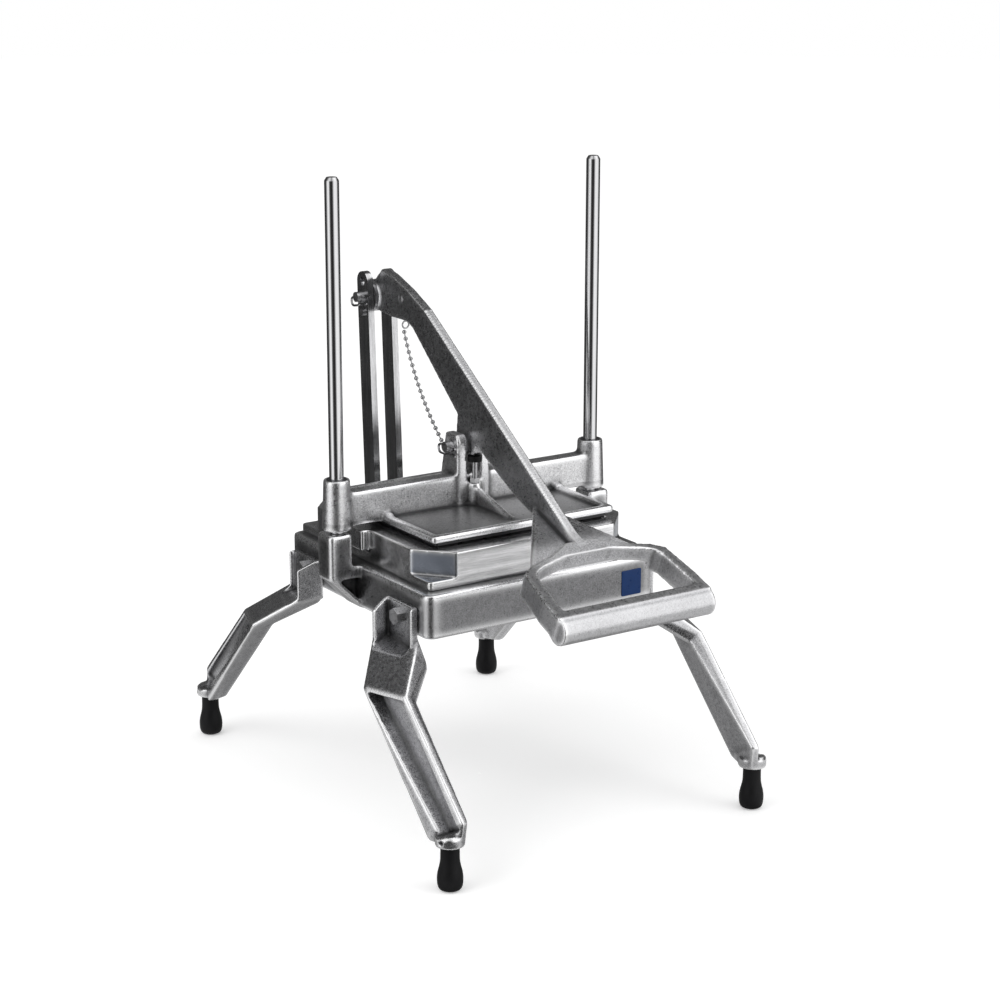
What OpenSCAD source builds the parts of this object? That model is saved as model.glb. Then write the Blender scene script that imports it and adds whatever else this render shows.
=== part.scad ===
// Manual vegetable slicer: a lever pushes a finger block down through a square blade grid.
// X runs along the crossbar, -Y is the front where the handle is, Z = 0 is the table.
// The origin is on the table, under the middle of the overall box. The shapes are drawn about
// the rods' mid plane and then set back by middle_y.

/* [Base frame] */
// From the blade window to the outside of a side wall
base_side = 31.1; // [28:0.1:40]
// From the blade window to the outside of the front or back wall
base_end = 31.1; // [29:0.1:40]
// Height of the base frame's walls
base_h = 39.5; // [36:0.5:44]
// Height of the base frame's top face above the table
deck_z = 219.5; // [200:0.5:240]
// Thickness of the base frame's walls
base_wall = 8; // [6:0.5:10]
// Radius of the base frame's upright corners
base_corner = 10; // [8:0.5:14]
// Thickness of the ledge that carries the blade frame
ledge_t = 6; // [5:0.5:8]
// Gap from the blade window to the opening in the ledge, on each side
ledge_step = 8; // [6:0.5:9]
// How far the middle of the base frame lies in front of the rods
base_shift = 4; // [2:0.5:6]

/* [Guide rods and their ears] */
// Distance between the two guide rods
rod_span = 271.7; // [262:0.1:290]
// Diameter of a guide rod
rod_d = 12.7; // [11:0.1:14]
// Height of the rods' tips above the table
rod_top = 561; // [520:1:580]
// Length of the bevel at a rod's tip
rod_bevel = 3; // [1:0.5:4]
// Depth of a rod's seat in its ear
rod_seat = 36; // [28:1:38]
// Height of an ear above the base frame's top
ear_h = 30; // [26:0.5:32]
// Wall of an ear outside the rod's axis
ear_out = 14.1; // [12:0.1:16]
// Wall of an ear inside the rod's axis
ear_in = 8.9; // [8.2:0.1:10]
// Length of an ear, front to back
ear_len = 25.5; // [22:0.5:30]
// Thickness of the shelf that joins an ear to the side wall
shelf_t = 11.5; // [9:0.5:14]
// Thickness of the gusset's web and of its sloping flange
gusset_t = 5; // [3:0.5:7]

/* [Blade frame and blades] */
// Width of the blade frame
frame_w = 221; // [214:1:226]
// Length of the blade frame
frame_len = 224; // [216:1:228]
// Height of the blade frame
frame_h = 30.5; // [28:0.5:33]
// Height of the square lip under the bevelled body
lip_h = 8; // [6:0.5:9]
// Size of a corner bevel along X
bevel_x = 27.5; // [20:0.5:30]
// Size of a corner bevel along Y
bevel_y = 31; // [22:0.5:33]
// Side of one square of the blade grid
cell = 25.4; // [24:0.1:26]
// Squares along each side of the grid
cells = 7; // [7:1:7]
// Thickness of a blade
blade_t = 0.6; // [0.4:0.1:1]
// Height of a blade
blade_h = 8; // [7:0.5:8.5]
// Height of the lower blades' edge above the base frame's top
blade_rise = 6.5; // [5:0.5:7]
// Depth of a blade's slot in the window's wall
blade_seat = 6; // [4:0.5:8]
// How far a side lug stands out from the blade frame
lug_out = 7.5; // [6:0.5:7.5]
// Height of a side lug
lug_h = 18; // [14:0.5:20]
// Length of a side lug
lug_len = 22; // [16:0.5:24]

/* [Legs] */
// How far a leg's outer face stands off the side wall, level with its bolt
leg_stand = 17.5; // [16:0.1:19]
// From the outside of the front or back wall to a leg bolt
leg_inset = 37.5; // [34:0.1:42]
// Turn of a leg's outer face away from the side wall, in degrees
leg_turn = 19.3; // [16:0.1:22]
// Width of a leg's pad behind the bolt
pad_back = 17.3; // [15:0.1:20]
// Width of a leg's pad in front of the bolt
pad_front = 26.2; // [24:0.1:28]
// Thickness of the pad under the bolt's head
pad_floor = 6; // [4.5:0.5:7]
// From the deck down to the top of a leg's pad
pad_down = 12.5; // [10:0.5:15]
// Height of a leg's pad
pad_h = 40; // [36:0.5:43]
// Depth of a leg bolt below the pad's top
leg_bolt_down = 12.5; // [11:0.5:15]
// Drop of the bevel across the pad's top
pad_bevel = 10; // [6:0.5:12]
// Distance of the knee along the leg's face
knee_along = 29; // [26:0.5:32]
// Distance of the knee out from the pad's face
knee_out = 38.8; // [34:0.1:42]
// Height of the knee above the table
knee_z = 142; // [136:0.5:148]
// Half the width of the leg, level across the knee
knee_half = 24; // [21:0.1:25.5]
// Thickness of the leg at the front of the knee
knee_thin = 12; // [11:0.5:14]
// Thickness of the leg at the back of the knee
knee_thick = 20; // [18:0.5:22]
// Distance of the shank's lower end along the leg's face
shank_along = 117.4; // [113:0.1:120]
// Distance of the shank's lower end out from the pad's face
shank_out = 69.2; // [65:0.1:72]
// Height of the shank's lower end above the table
shank_z = 48; // [46:0.5:52]
// From the shank's middle to its front edge at the lower end
shank_front = 20.6; // [19:0.1:23]
// From the shank's middle to its back edge at the lower end
shank_back = 18.7; // [16.5:0.1:20]
// Set-in of the shank's front edge at the lower end
shank_twist = 3.4; // [1:0.1:4.5]
// Thickness of the shank's front edge at the lower end
shank_thin = 6.5; // [6:0.5:8]
// Thickness of the shank's back edge at the lower end
shank_thick = 17.5; // [15:0.5:19]
// Width of the channel's back flange
flange_t = 4.5; // [3:0.5:5.5]
// Width of the channel's front flange
flange_thin = 2.5; // [2:0.5:4]
// Depth of the channel at its back wall
channel_deep = 11; // [8:0.5:12]
// Depth of the channel at its front wall
channel_shallow = 3.5; // [2:0.5:4]
// Slope of the channel's walls, as their set-in at the floor
channel_draft = 4; // [2:0.5:5]
// Radius of a leg's rounded edges
leg_round = 3; // [2:0.5:3.5]
// Distance of a foot's axis along the leg's face
foot_along = 118.9; // [116:0.1:121]
// Distance of a foot's axis out from the pad's face
foot_out = 65.1; // [62:0.1:68]
// Radius of the boss above a foot
socket_r = 12.6; // [11.5:0.1:13.5]
// Height of the boss above its lower face
socket_h = 11; // [10:0.5:14]

/* [Feet and leg fasteners] */
// Height of a rubber foot
foot_h = 39; // [36:0.5:42]
// Radius of a foot's bulb
foot_r = 11; // [9.5:0.5:12]
// Radius of a foot's neck
foot_neck = 8; // [7:0.5:9]
// Diameter of the stud that holds a foot
stud_d = 8; // [6:0.5:9]
// Diameter of a leg bolt
leg_bolt_d = 8; // [6:0.5:9]
// Width across the flats of a leg bolt's head and nut
leg_hex = 13; // [11:0.5:15]
// Height of a leg bolt's head and nut
leg_hex_h = 5.5; // [4:0.5:6.5]
// Diameter of the screw that locks a foot's stud
lock_d = 4; // [3:0.5:5]

/* [Pusher head] */
// Width of the pusher plate
plate_w = 191.2; // [186:0.2:200]
// Length of the pusher plate
plate_len = 190; // [186:1:200]
// Gap between the blade frame's top and the plate
plate_gap = 4.4; // [4:0.2:6]
// Thickness of the plate's floor
plate_floor = 3.4; // [2.6:0.2:5]
// Height of the plate's rim
rim_h = 6.6; // [5.6:0.2:8]
// Width of the plate's rim
rim_w = 8.5; // [6:0.5:11]
// Thickness of the crossbar
bar_t = 17; // [14:0.5:20]
// Height of the crossbar
bar_h = 30.5; // [26:0.5:34]
// Radius of a boss at its foot
boss_foot_r = 13.4; // [12.6:0.1:14]
// Radius of a boss at its top
boss_top_r = 11.7; // [11:0.1:12.5]
// Height of a boss
boss_h = 46.3; // [40:0.1:52]
// Outside diameter of a guide bushing
bushing_d = 17.5; // [16:0.1:19]
// Gap between the ears and the bosses when the pusher is down
boss_gap = 2.5; // [2:0.5:4]
// Thickness of the upright rib on the plate
rib_t = 6; // [4:0.5:9]

/* [Finger block] */
// Side of one pushing finger
finger = 21.4; // [20:0.1:22.4]
// How far the fingers reach below the lower blades
finger_past = 5; // [3:0.5:5.5]
// Thickness of the finger block's backing
backing_t = 3; // [2:0.2:3.4]
// Edge of the backing beyond the blade window
backing_lap = 1.5; // [0:0.5:3]
// Depth of a finger screw's seat below the pusher plate
finger_seat = 12; // [8:0.5:14]
// Length of a finger screw above the finger block
finger_reach = 14.5; // [12:0.5:15]
// Height of a finger screw's head
finger_head = 5; // [4:0.5:6]
// Diameter of a finger screw's head
finger_head_d = 8.5; // [8:0.1:8.8]

/* [Clevis and bumper] */
// Gap between the clevis ears
clevis_gap = 14; // [13:0.2:16]
// Thickness of a clevis ear
clevis_t = 10; // [8:0.5:11]
// Height of the lever's pivot above the blade frame's top
pivot_rise = 61; // [57:0.5:64]
// Distance of the lever's pivot behind the rods' mid plane
pivot_y = 1; // [-1:0.5:3]
// Diameter of the lever's pivot pin
pin_d = 9.5; // [8:0.1:10.5]
// Diameter of the bumper
bumper_d = 13.2; // [11:0.2:13.4]
// Thickness of the bumper
bumper_t = 5; // [4:0.5:6]
// Distance of the bumper in front of the lever's pivot
bumper_front = 13; // [12:0.5:15]

/* [Lever] */
// Thickness of the lever
lever_t = 9; // [7:0.5:11]
// Distance of the lever's head pivot behind the main pivot
head_back = 155.4; // [145:0.2:165]
// Height of the lever's head pivot above the main pivot
head_up = 112; // [104:0.5:120]
// Radius of the lever's head
head_r = 15; // [13:0.5:16]
// Width of the lever's head across the hub
hub_w = 13; // [11:0.5:15]
// Distance of the grip's shoulders in front of the main pivot
grip_front = 188.8; // [180:0.2:200]
// Depth of the grip's shoulders below the main pivot
grip_down = 54.1; // [48:0.1:60]
// Slope of the grip, in degrees
grip_tilt = 21.7; // [15:0.1:28]
// Width of the grip across its arms, at the bar
grip_w = 157; // [140:1:170]
// Width of the grip at its shoulders
shoulder_w = 146; // [130:1:156]
// Length of the grip down its slope, to the bar's axis
grip_len = 75.3; // [66:0.1:86]
// Diameter of the grip's bar
grip_bar_d = 24; // [20:0.5:27]
// How far the bar's top lies below the grip's top face
bar_sink = 0.9; // [0.5:0.1:2]
// Width of the grip's arms
arm_w = 11; // [9:0.5:14]
// Depth of the grip's arms
arm_deep = 22; // [18:0.5:25]
// Depth of the grip's inner edge member
member_deep = 14; // [10:0.5:18]
// How far the webs lie below the grip's top face
web_drop = 7; // [4:0.5:9]
// Thickness of the webs
web_t = 5; // [3.5:0.5:7]

/* [Link bars] */
// Width of a link bar
link_w = 19; // [16:0.5:22]
// Thickness of a link bar
link_t = 6.35; // [5:0.05:8]
// Gap between the link bars
link_gap = 18.7; // [17:0.1:20]
// Distance of the links' lower pivot behind the rods' mid plane
foot_pivot_y = 145.6; // [143:0.2:150]
// Depth of the links' lower pivot below the base frame's top
foot_pivot_down = 19.5; // [17:0.5:21]
// Distance from the head pivot to the spare hole above it
spare_hole = 14; // [12:0.5:18]
// Diameter of the spare hole
spare_d = 8; // [6:0.5:9]
// Width of the bracket plate on the back wall
bracket_w = 62; // [54:1:72]
// Thickness of the bracket plate
bracket_t = 6; // [5:0.5:7]

/* [Clips and chain] */
// Diameter of the clip wire
wire_d = 2.2; // [1.6:0.1:2.6]
// Length of a clip's straight leg
clip_len = 34; // [28:1:40]
// Radius of a clip's end loop
clip_loop = 4; // [3:0.5:5]
// Lean of the upper clip's straight leg, in degrees
clip_lean = 8; // [0:1:12]
// Diameter of a bead
bead_d = 4; // [3:0.1:4.2]
// Number of beads
beads = 18; // [15:1:20]
// Pull of the chain's curve below a straight line
chain_sag = 7.2; // [2:0.2:10]
// Swing of the chain's curve outward, past the clevis ear
chain_swing = 4; // [3:0.5:8]
// Distance of the chain's eye in front of the lever's head pivot
eye_front = 51; // [46:0.5:56]

/* [Label] */
// Width of the blank label
label_w = 21.3; // [16:0.1:26]
// Height of the blank label
label_h = 23.5; // [18:0.5:28]
// Distance of the label's middle from the front wall's middle
label_x = 93.6; // [80:0.2:98]
// Thickness of the label
label_t = 0.3; // [0.2:0.1:0.5]

/* [Clearances] */
// Radial clearance of a part that turns or slides
run_gap = 0.06; // [0.02:0.01:0.1]
// Radial clearance of a part that is fixed in its hole
fix_gap = 0.03; // [0.01:0.01:0.1]
// Gap between faces that pass each other
face_gap = 0.35; // [0.3:0.05:0.6]

/* [Hidden] */
$fn = 48;
soft_fn = 32;

cast_metal = [0.74, 0.74, 0.75];
machined = [0.84, 0.84, 0.85];
steel = [0.62, 0.63, 0.65];
dark_steel = [0.28, 0.29, 0.31];
rubber_black = [0.05, 0.05, 0.05];
label_blue = [0.08, 0.22, 0.45];

window = cells * cell;
base_w = window + 2 * base_side;
base_len = window + 2 * base_end;
base_floor = deck_z - base_h;
base_back = base_len / 2 - base_shift;
base_front = base_len / 2 + base_shift;
rod_x = rod_span / 2;
ear_top = deck_z + ear_h;
frame_top = deck_z + frame_h;
lower_blade_z = deck_z + blade_rise;
upper_blade_z = lower_blade_z + blade_h + 0.5;
plate_z = frame_top + plate_gap;
rim_z = plate_z + rim_h;
bar_z = plate_z + 0.6;
bar_top = bar_z + bar_h;
boss_z = ear_top + boss_gap;
pivot = [pivot_y, frame_top + pivot_rise];
head = pivot + [head_back, head_up];
link_foot = [foot_pivot_y, deck_z - foot_pivot_down];
link_len = norm(head - link_foot);
link_lean = atan2(head[0] - link_foot[0], head[1] - link_foot[1]);
link_in = link_gap / 2;
link_out = link_in + link_t;
clevis_in = clevis_gap / 2;
clevis_out = clevis_in + clevis_t;
bumper_y = pivot_y - bumper_front;
bumper_z = pivot[1] - 13.4;
stop_z = bumper_z + bumper_t + face_gap - pivot[1];
screw_seat_z = bar_top - 7.5;
lower_clip_x = -clevis_out - 3.2;
upper_clip_x = -link_out - 3.6;
grip = pivot - [grip_front, grip_down];
frame_screw_x = (window / 2 + ledge_step + base_w / 2 - base_wall) / 2 - 1;
frame_screw_y = (window / 2 + ledge_step + base_back - base_wall) / 2 - 1;
front_end = grip[0] - grip_len * cos(grip_tilt) - grip_bar_d / 2
    + (grip_bar_d / 2 + bar_sink) * sin(grip_tilt);
leg_x = base_w / 2 + leg_stand;
leg_y = base_len / 2 - leg_inset;
back_end = leg_y - base_shift + foot_along * cos(leg_turn) + foot_out * sin(leg_turn) + socket_r;
middle_y = round(5 * (front_end + back_end)) / 10;
pad_top = deck_z - pad_down;
pad_bottom = pad_top - pad_h;
leg_bolt_z = pad_top - leg_bolt_down;
slope_top = pad_bottom + 2 * leg_round;
slope_fall = (slope_top - knee_z - leg_round) / knee_out;
bolt_seat_x = -base_w / 2 - pad_floor;
shank_run = [shank_along - knee_along, shank_z - knee_z] / norm([shank_along - knee_along, shank_z - knee_z]);
shank_side = [-shank_run[1], shank_run[0]];
stud_up = socket_h - 3.5;
m5 = 5;
m6 = 6;
nut_r = 4.9;

// Shared shapes

// Sets the whole object over its origin
module stand() {
    translate([0, -middle_y, 0])
        children();
}

// A block with rounded upright edges, standing on the plane z = 0
module round_block(w, l, h, r) {
    translate([-w / 2 + r, -l / 2, 0])
        cube([w - 2 * r, l, h]);
    translate([-w / 2, -l / 2 + r, 0])
        cube([w, l - 2 * r, h]);
    for (x = [-1, 1], y = [-1, 1])
        translate([x * (w / 2 - r), y * (l / 2 - r), 0])
            cylinder(r = r, h = h);
}

// A cylinder along X from x0 to x1 at [y, z]
module rod_along_x(x0, x1, at, r) {
    translate([x0, at[0], at[1]])
        rotate([0, 90, 0])
            cylinder(r = r, h = x1 - x0);
}

// An outline in the Y-Z plane, given thickness t about x
module slab_yz(x, t, points) {
    translate([x - t / 2, 0, 0])
        rotate([90, 0, 90])
            linear_extrude(t)
                polygon(points);
}

// Children placed at all four corners of the base frame
module at_corner(sx, sy) {
    translate([0, -base_shift, 0])
        mirror([sx > 0 ? 1 : 0, 0, 0])
            mirror([0, sy > 0 ? 1 : 0, 0])
                children();
}

module at_all_corners() {
    for (sx = [-1, 1], sy = [-1, 1])
        at_corner(sx, sy)
            children();
}

module at_both_rods() {
    for (s = [-1, 1])
        translate([s * rod_x, 0, 0])
            children();
}

// Base frame

// The ear that holds a rod, with its shelf and gusset, on the right-hand side
module rod_ear() {
    mid = rod_x + (ear_out - ear_in) / 2;
    tip = rod_x + ear_out;
    wall = base_w / 2;
    drop = min(tip - wall - 2, base_h - shelf_t);
    translate([mid, 0, deck_z - shelf_t])
        round_block(ear_in + ear_out, ear_len, ear_h + shelf_t, 4);
    translate([wall - base_wall / 2, -ear_len / 2, deck_z - shelf_t])
        cube([mid - wall + base_wall / 2, ear_len, shelf_t]);
    translate([0, gusset_t / 2, deck_z - shelf_t])
        rotate([90, 0, 0])
            linear_extrude(gusset_t)
                polygon([[wall - 1, 1], [wall + drop, 1], [wall + drop, 0],
                         [wall, -drop], [wall - 1, -drop]]);
    translate([0, ear_len / 2, deck_z - shelf_t])
        rotate([90, 0, 0])
            linear_extrude(ear_len)
                polygon([[wall + drop, 1], [wall + drop, 0], [wall, -drop], [wall - 1, -drop],
                         [wall - 1, gusset_t * 1.4 - drop], [wall, gusset_t * 1.4 - drop],
                         [wall + drop - gusset_t * 1.4, 0], [wall + drop - gusset_t * 1.4, 1]]);
}

module base_frame() {
    color(cast_metal)
        difference() {
            union() {
                translate([0, -base_shift, base_floor])
                    round_block(base_w, base_len, base_h, base_corner);
                rod_ear();
                mirror([1, 0, 0])
                    rod_ear();
            }
            translate([0, -base_shift, base_floor - 1])
                round_block(base_w - 2 * base_wall, base_len - 2 * base_wall, base_h - ledge_t + 1, 5);
            translate([0, 0, base_floor - 1])
                round_block(window + 2 * ledge_step, window + 2 * ledge_step, base_h + 2, 4);
            at_both_rods()
                translate([0, 0, ear_top - rod_seat])
                    cylinder(d = rod_d + 2 * fix_gap, h = rod_seat + 1);
            set_screw_holes();
            at_all_corners()
                leg_bolt_hole();
            for (x = [-1, 1], y = [-1, 1])
                translate([x * frame_screw_x, y * frame_screw_y, deck_z - ledge_t - 1])
                    cylinder(d = m5 + 0.5, h = ledge_t + 2);
            bracket_screw_holes(base_back - base_wall - 1, base_wall + 2);
        }
}

// Cross holes behind the rods, for the set screws
module set_screw_holes() {
    at_both_rods()
        translate([0, ear_len / 2 + 1, ear_top - rod_seat / 2])
            rotate([90, 0, 0])
                cylinder(d = m6 + 2 * fix_gap, h = ear_len / 2 + 1);
}

module rod_set_screws() {
    color(dark_steel)
        at_both_rods()
            translate([0, ear_len / 2 - 0.5, ear_top - rod_seat / 2])
                rotate([90, 0, 0])
                    difference() {
                        cylinder(d = m6, h = ear_len / 2 - 0.5 - rod_d / 2 - 0.05);
                        translate([0, 0, -1])
                            cylinder(d = 3.4, h = 3.5, $fn = 6);
                    }
}

module guide_rod(side) {
    color(steel)
        translate([side * rod_x, 0, ear_top - rod_seat]) {
            cylinder(d = rod_d, h = rod_top - ear_top + rod_seat - rod_bevel);
            translate([0, 0, rod_top - ear_top + rod_seat - rod_bevel])
                cylinder(r1 = rod_d / 2, r2 = rod_d / 2 - rod_bevel * 0.6, h = rod_bevel);
        }
}

module blank_label() {
    color(label_blue)
        translate([label_x - label_w / 2, -base_front - label_t, base_floor + (base_h - label_h) / 2 - 3])
            cube([label_w, label_t, label_h]);
}

// Blade frame and blades

module blade_frame() {
    half_w = frame_w / 2;
    half_l = frame_len / 2;
    color(machined)
        difference() {
            union() {
                translate([0, 0, deck_z])
                    round_block(frame_w, frame_len, lip_h, 4);
                translate([0, 0, deck_z + lip_h - 1])
                    linear_extrude(frame_h - lip_h + 1)
                        polygon([for (q = [[1, 1], [-1, 1], [-1, -1], [1, -1]], k = [0, 1])
                            [q[0] * (half_w - (q[0] * q[1] > 0 ? k : 1 - k) * bevel_x),
                             q[1] * (half_l - (q[0] * q[1] > 0 ? 1 - k : k) * bevel_y)]]);
                translate([0, 0, frame_top - lug_h])
                    round_block(frame_w + 2 * lug_out, lug_len, lug_h, 3);
            }
            translate([-window / 2, -window / 2, deck_z - 1])
                cube([window, window, frame_h + 2]);
            blade_rows(blade_t + 0.3, blade_h + 0.3, window + 2 * blade_seat + 0.4, -0.15);
            for (x = [-1, 1], y = [-1, 1])
                translate([x * frame_screw_x, y * frame_screw_y, deck_z - 1])
                    cylinder(d = m5 + 2 * fix_gap, h = lip_h);
        }
}

// Both layers of blades at thickness t, height h and length l, lowered by dz
module blade_rows(t, h, l, dz) {
    blade_row(t, h, l, lower_blade_z + dz);
    rotate([0, 0, 90])
        blade_row(t, h, l, upper_blade_z + dz);
}

module blade_row(t, h, l, z) {
    for (i = [1 : cells - 1])
        translate([-l / 2, -window / 2 + i * cell - t / 2, z])
            cube([l, t, h]);
}

module lower_blades() {
    color(steel)
        blade_row(blade_t, blade_h, window + 2 * blade_seat, lower_blade_z);
}

module upper_blades() {
    color(steel)
        rotate([0, 0, 90])
            blade_row(blade_t, blade_h, window + 2 * blade_seat, upper_blade_z);
}

module blade_frame_screws() {
    color(steel)
        for (x = [-1, 1], y = [-1, 1])
            translate([x * frame_screw_x, y * frame_screw_y, deck_z - ledge_t]) {
                cylinder(d = m5, h = ledge_t + lip_h - 1.5);
                translate([0, 0, -3.5])
                    cylinder(r = 3.8, h = 3.5);
            }
}

// Legs. A leg is drawn at the front left; its own X runs along its outer face and -Y points outward

module in_leg_frame() {
    translate([-leg_x, -leg_y, 0])
        rotate([0, 0, leg_turn - 90])
            children();
}

// A short rounded bar through the leg's thickness, at [along, height], its outer end out from the pad's face
module leg_peg(along, z, out, deep, r) {
    translate([along, -out, z])
        rotate([-90, 0, 0])
            cylinder(r = r, h = deep, $fn = soft_fn);
}

// A bar of the leg's skin: short pegs on its outer and its inner face, the inner one raised
module skin_peg(at, out, thick, raised) {
    r = leg_round;
    leg_peg(at[0], at[1], out, 2 * r, r);
    leg_peg(at[0], at[1] + raised, out - thick + 2 * r, 2 * r, r);
}

// Centres, in from the edges by d, of the knee and of the shank's lower end: side 1 is the front, -1 the back
function knee_at(side, d) = [knee_along + side * (knee_half - d), knee_z];
function shank_front_at(d) = [shank_along, shank_z] + (shank_front - d) * shank_side;
function shank_low(d) = [shank_along, shank_z] - (shank_back - d) * shank_side;
function shank_back_at(d) = shank_low(d) + shank_run * (foot_h + d - shank_low(d)[1]) / shank_run[1];

module knee_skin() {
    skin_peg(knee_at(1, leg_round), knee_out, knee_thin, -5);
    skin_peg(knee_at(-1, leg_round), knee_out, knee_thick, 3.5);
}

module shank_skin() {
    skin_peg(shank_front_at(leg_round), shank_out - shank_twist, shank_thin, 0);
    skin_peg(shank_back_at(leg_round), shank_out, shank_thick, 3.5);
}

module leg_body() {
    r = leg_round;
    // pad against the side wall
    hull()
        for (a = [-pad_back + r, pad_front - r], z = [pad_bottom + 3 + r, pad_top - r])
            leg_peg(a, z, 0, 40, r);
    // plain slope from the pad to the knee
    hull() {
        for (a = [-pad_back + r, pad_front - r]) {
            leg_peg(a, pad_bottom + r, 0, 6, r);
            leg_peg(a, pad_bottom + 8 + r, -12, 27.5, r);
        }
        knee_skin();
    }
    // shank
    hull() {
        knee_skin();
        shank_skin();
    }
    // upright end below the shank, and the boss in it that holds the foot
    hull() {
        shank_skin();
        skin_peg([foot_along + socket_r - r - 1, foot_h + r], shank_out - shank_twist, shank_thin, 0);
        skin_peg([foot_along - socket_r + r, foot_h + r], shank_out, shank_thick, 3.5);
    }
    translate([foot_along, -foot_out, foot_h + 0.3]) {
        cylinder(r = socket_r - 0.1, h = socket_h - 2.8);
        translate([0, 0, socket_h - 2.8])
            cylinder(r1 = socket_r - 0.1, r2 = socket_r - 3, h = 2.5);
    }
}

module leg_cuts() {
    r = leg_round / 2 + 0.5;
    low_back = [foot_along - socket_r + r + flange_t - 1, foot_h + socket_h - 1];
    low_front = [foot_along + socket_r - r - flange_thin, foot_h + socket_h + 5];
    // channel down the shank, open outward, deep at its back wall and shallow at its front
    hull()
        for (k = [0, 1]) {
            out = 20 * (1 - k);
            back_deep = k > 0 ? channel_deep : 20;
            front_deep = k > 0 ? channel_shallow : 20;
            set_in = k * channel_draft;
            knee_back = knee_at(-1, flange_t * 1.37 + r + set_in)[0];
            knee_front = knee_at(1, flange_thin * 1.37 + r + set_in / 4)[0];
            leg_peg(knee_back, knee_z - 3, knee_out + out, back_deep, r);
            leg_peg(knee_front, knee_z - 3, knee_out + out, front_deep, r);
            leg_peg(low_back[0] + set_in, low_back[1] + k, shank_out + out, back_deep, r);
            leg_peg(low_front[0] - set_in / 4, low_front[1] + k, shank_out - shank_twist + out,
                    front_deep, r);
        }
    // seat of the foot's stud and its lock screw
    translate([foot_along, -foot_out, foot_h - 1])
        cylinder(d = stud_d + 2 * fix_gap, h = stud_up + 1.2);
    translate([foot_along, -foot_out - socket_r - 1, foot_h + socket_h / 2])
        rotate([-90, 0, 0])
            cylinder(d = lock_d + 2 * fix_gap, h = socket_r + 1);
}

// The recess round the bolt's head: its walls are the pad's cheeks and its lower end follows the slope
module pad_recess() {
    r = leg_round / 2 + 0.5;
    difference() {
        in_leg_frame()
            hull()
                for (a = [-pad_back + flange_t + r, pad_front - flange_t * 0.6 - r]) {
                    leg_peg(a, slope_top + 8 * slope_fall + r + 0.3, -8, 30, r);
                    leg_peg(a, slope_top - 10 * slope_fall + r + 0.3, 10, 0.2, r);
                    leg_peg(a, pad_top + 8, 10, 48, r);
                }
        translate([bolt_seat_x, -base_len, 0])
            cube([base_w, 2 * base_len, 2 * pad_top]);
    }
}

module leg() {
    difference() {
        in_leg_frame()
            leg_body();
        in_leg_frame()
            leg_cuts();
        pad_recess();
        leg_bolt_hole();
        // bevel across the pad's top
        rotate([90, 0, 0])
            linear_extrude(base_len)
                polygon([[bolt_seat_x, pad_top], [bolt_seat_x, pad_top + 20],
                         [bolt_seat_x - 40, pad_top + 20], [bolt_seat_x - 40, pad_top - 2 * pad_bevel]]);
        translate([-base_w / 2, -base_len, 0])
            cube([base_w, 2 * base_len, pad_top + 40]);
    }
}

module leg_bolt_hole() {
    rod_along_x(-leg_x - 30, -base_w / 2 + base_wall + 1, [-leg_y, leg_bolt_z], leg_bolt_d / 2 + 0.2);
}

module leg_at(sx, sy) {
    color(cast_metal)
        at_corner(sx, sy)
            leg();
}

module leg_bolts() {
    color(steel)
        at_all_corners() {
            rod_along_x(bolt_seat_x - 1, -base_w / 2 + base_wall + leg_hex_h + 3,
                        [-leg_y, leg_bolt_z], leg_bolt_d / 2);
            translate([bolt_seat_x - leg_hex_h, -leg_y, leg_bolt_z])
                rotate([0, 90, 0])
                    cylinder(r = leg_hex / sqrt(3), h = leg_hex_h, $fn = 6);
        }
}

module leg_washers() {
    color(steel)
        at_all_corners()
            difference() {
                rod_along_x(-base_w / 2 + base_wall, -base_w / 2 + base_wall + 1.6,
                            [-leg_y, leg_bolt_z], leg_hex / 2 + 2);
                rod_along_x(-base_w / 2, -base_w / 2 + base_wall + 3,
                            [-leg_y, leg_bolt_z], leg_bolt_d / 2 + fix_gap);
            }
}

module leg_nuts() {
    color(steel)
        at_all_corners()
            difference() {
                translate([-base_w / 2 + base_wall + 1.6, -leg_y, leg_bolt_z])
                    rotate([0, 90, 0])
                        cylinder(r = leg_hex / sqrt(3), h = leg_hex_h, $fn = 6);
                rod_along_x(-base_w / 2, -base_w / 2 + base_wall + 20,
                            [-leg_y, leg_bolt_z], leg_bolt_d / 2 + fix_gap);
            }
}

module foot_at(sx, sy) {
    stud_r = stud_d / 2 + fix_gap;
    color(rubber_black)
        at_corner(sx, sy)
            in_leg_frame()
                translate([foot_along, -foot_out, 0])
                    rotate_extrude()
                        polygon([[0, 0], [foot_r - 4, 0], [foot_r - 1.5, 2], [foot_r - 0.3, 6],
                                 [foot_r, 11], [foot_r - 0.8, 16], [foot_neck + 1, 22],
                                 [foot_neck + 0.2, 28], [foot_neck, foot_h], [stud_r, foot_h],
                                 [stud_r, 10], [0, 10]]);
}

module foot_studs() {
    color(steel)
        at_all_corners()
            in_leg_frame()
                translate([foot_along, -foot_out, 10.5])
                    cylinder(d = stud_d, h = foot_h + stud_up - 10.5);
}

module foot_lock_screws() {
    color(dark_steel)
        at_all_corners()
            in_leg_frame()
                translate([foot_along, -foot_out - socket_r + 1, foot_h + socket_h / 2])
                    rotate([-90, 0, 0])
                        difference() {
                            cylinder(d = lock_d, h = socket_r - 1 - stud_d / 2 - 0.1);
                            translate([0, 0, -1])
                                cylinder(d = lock_d * 0.55, h = 3, $fn = 6);
                        }
}

// Link bars and their bracket

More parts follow.
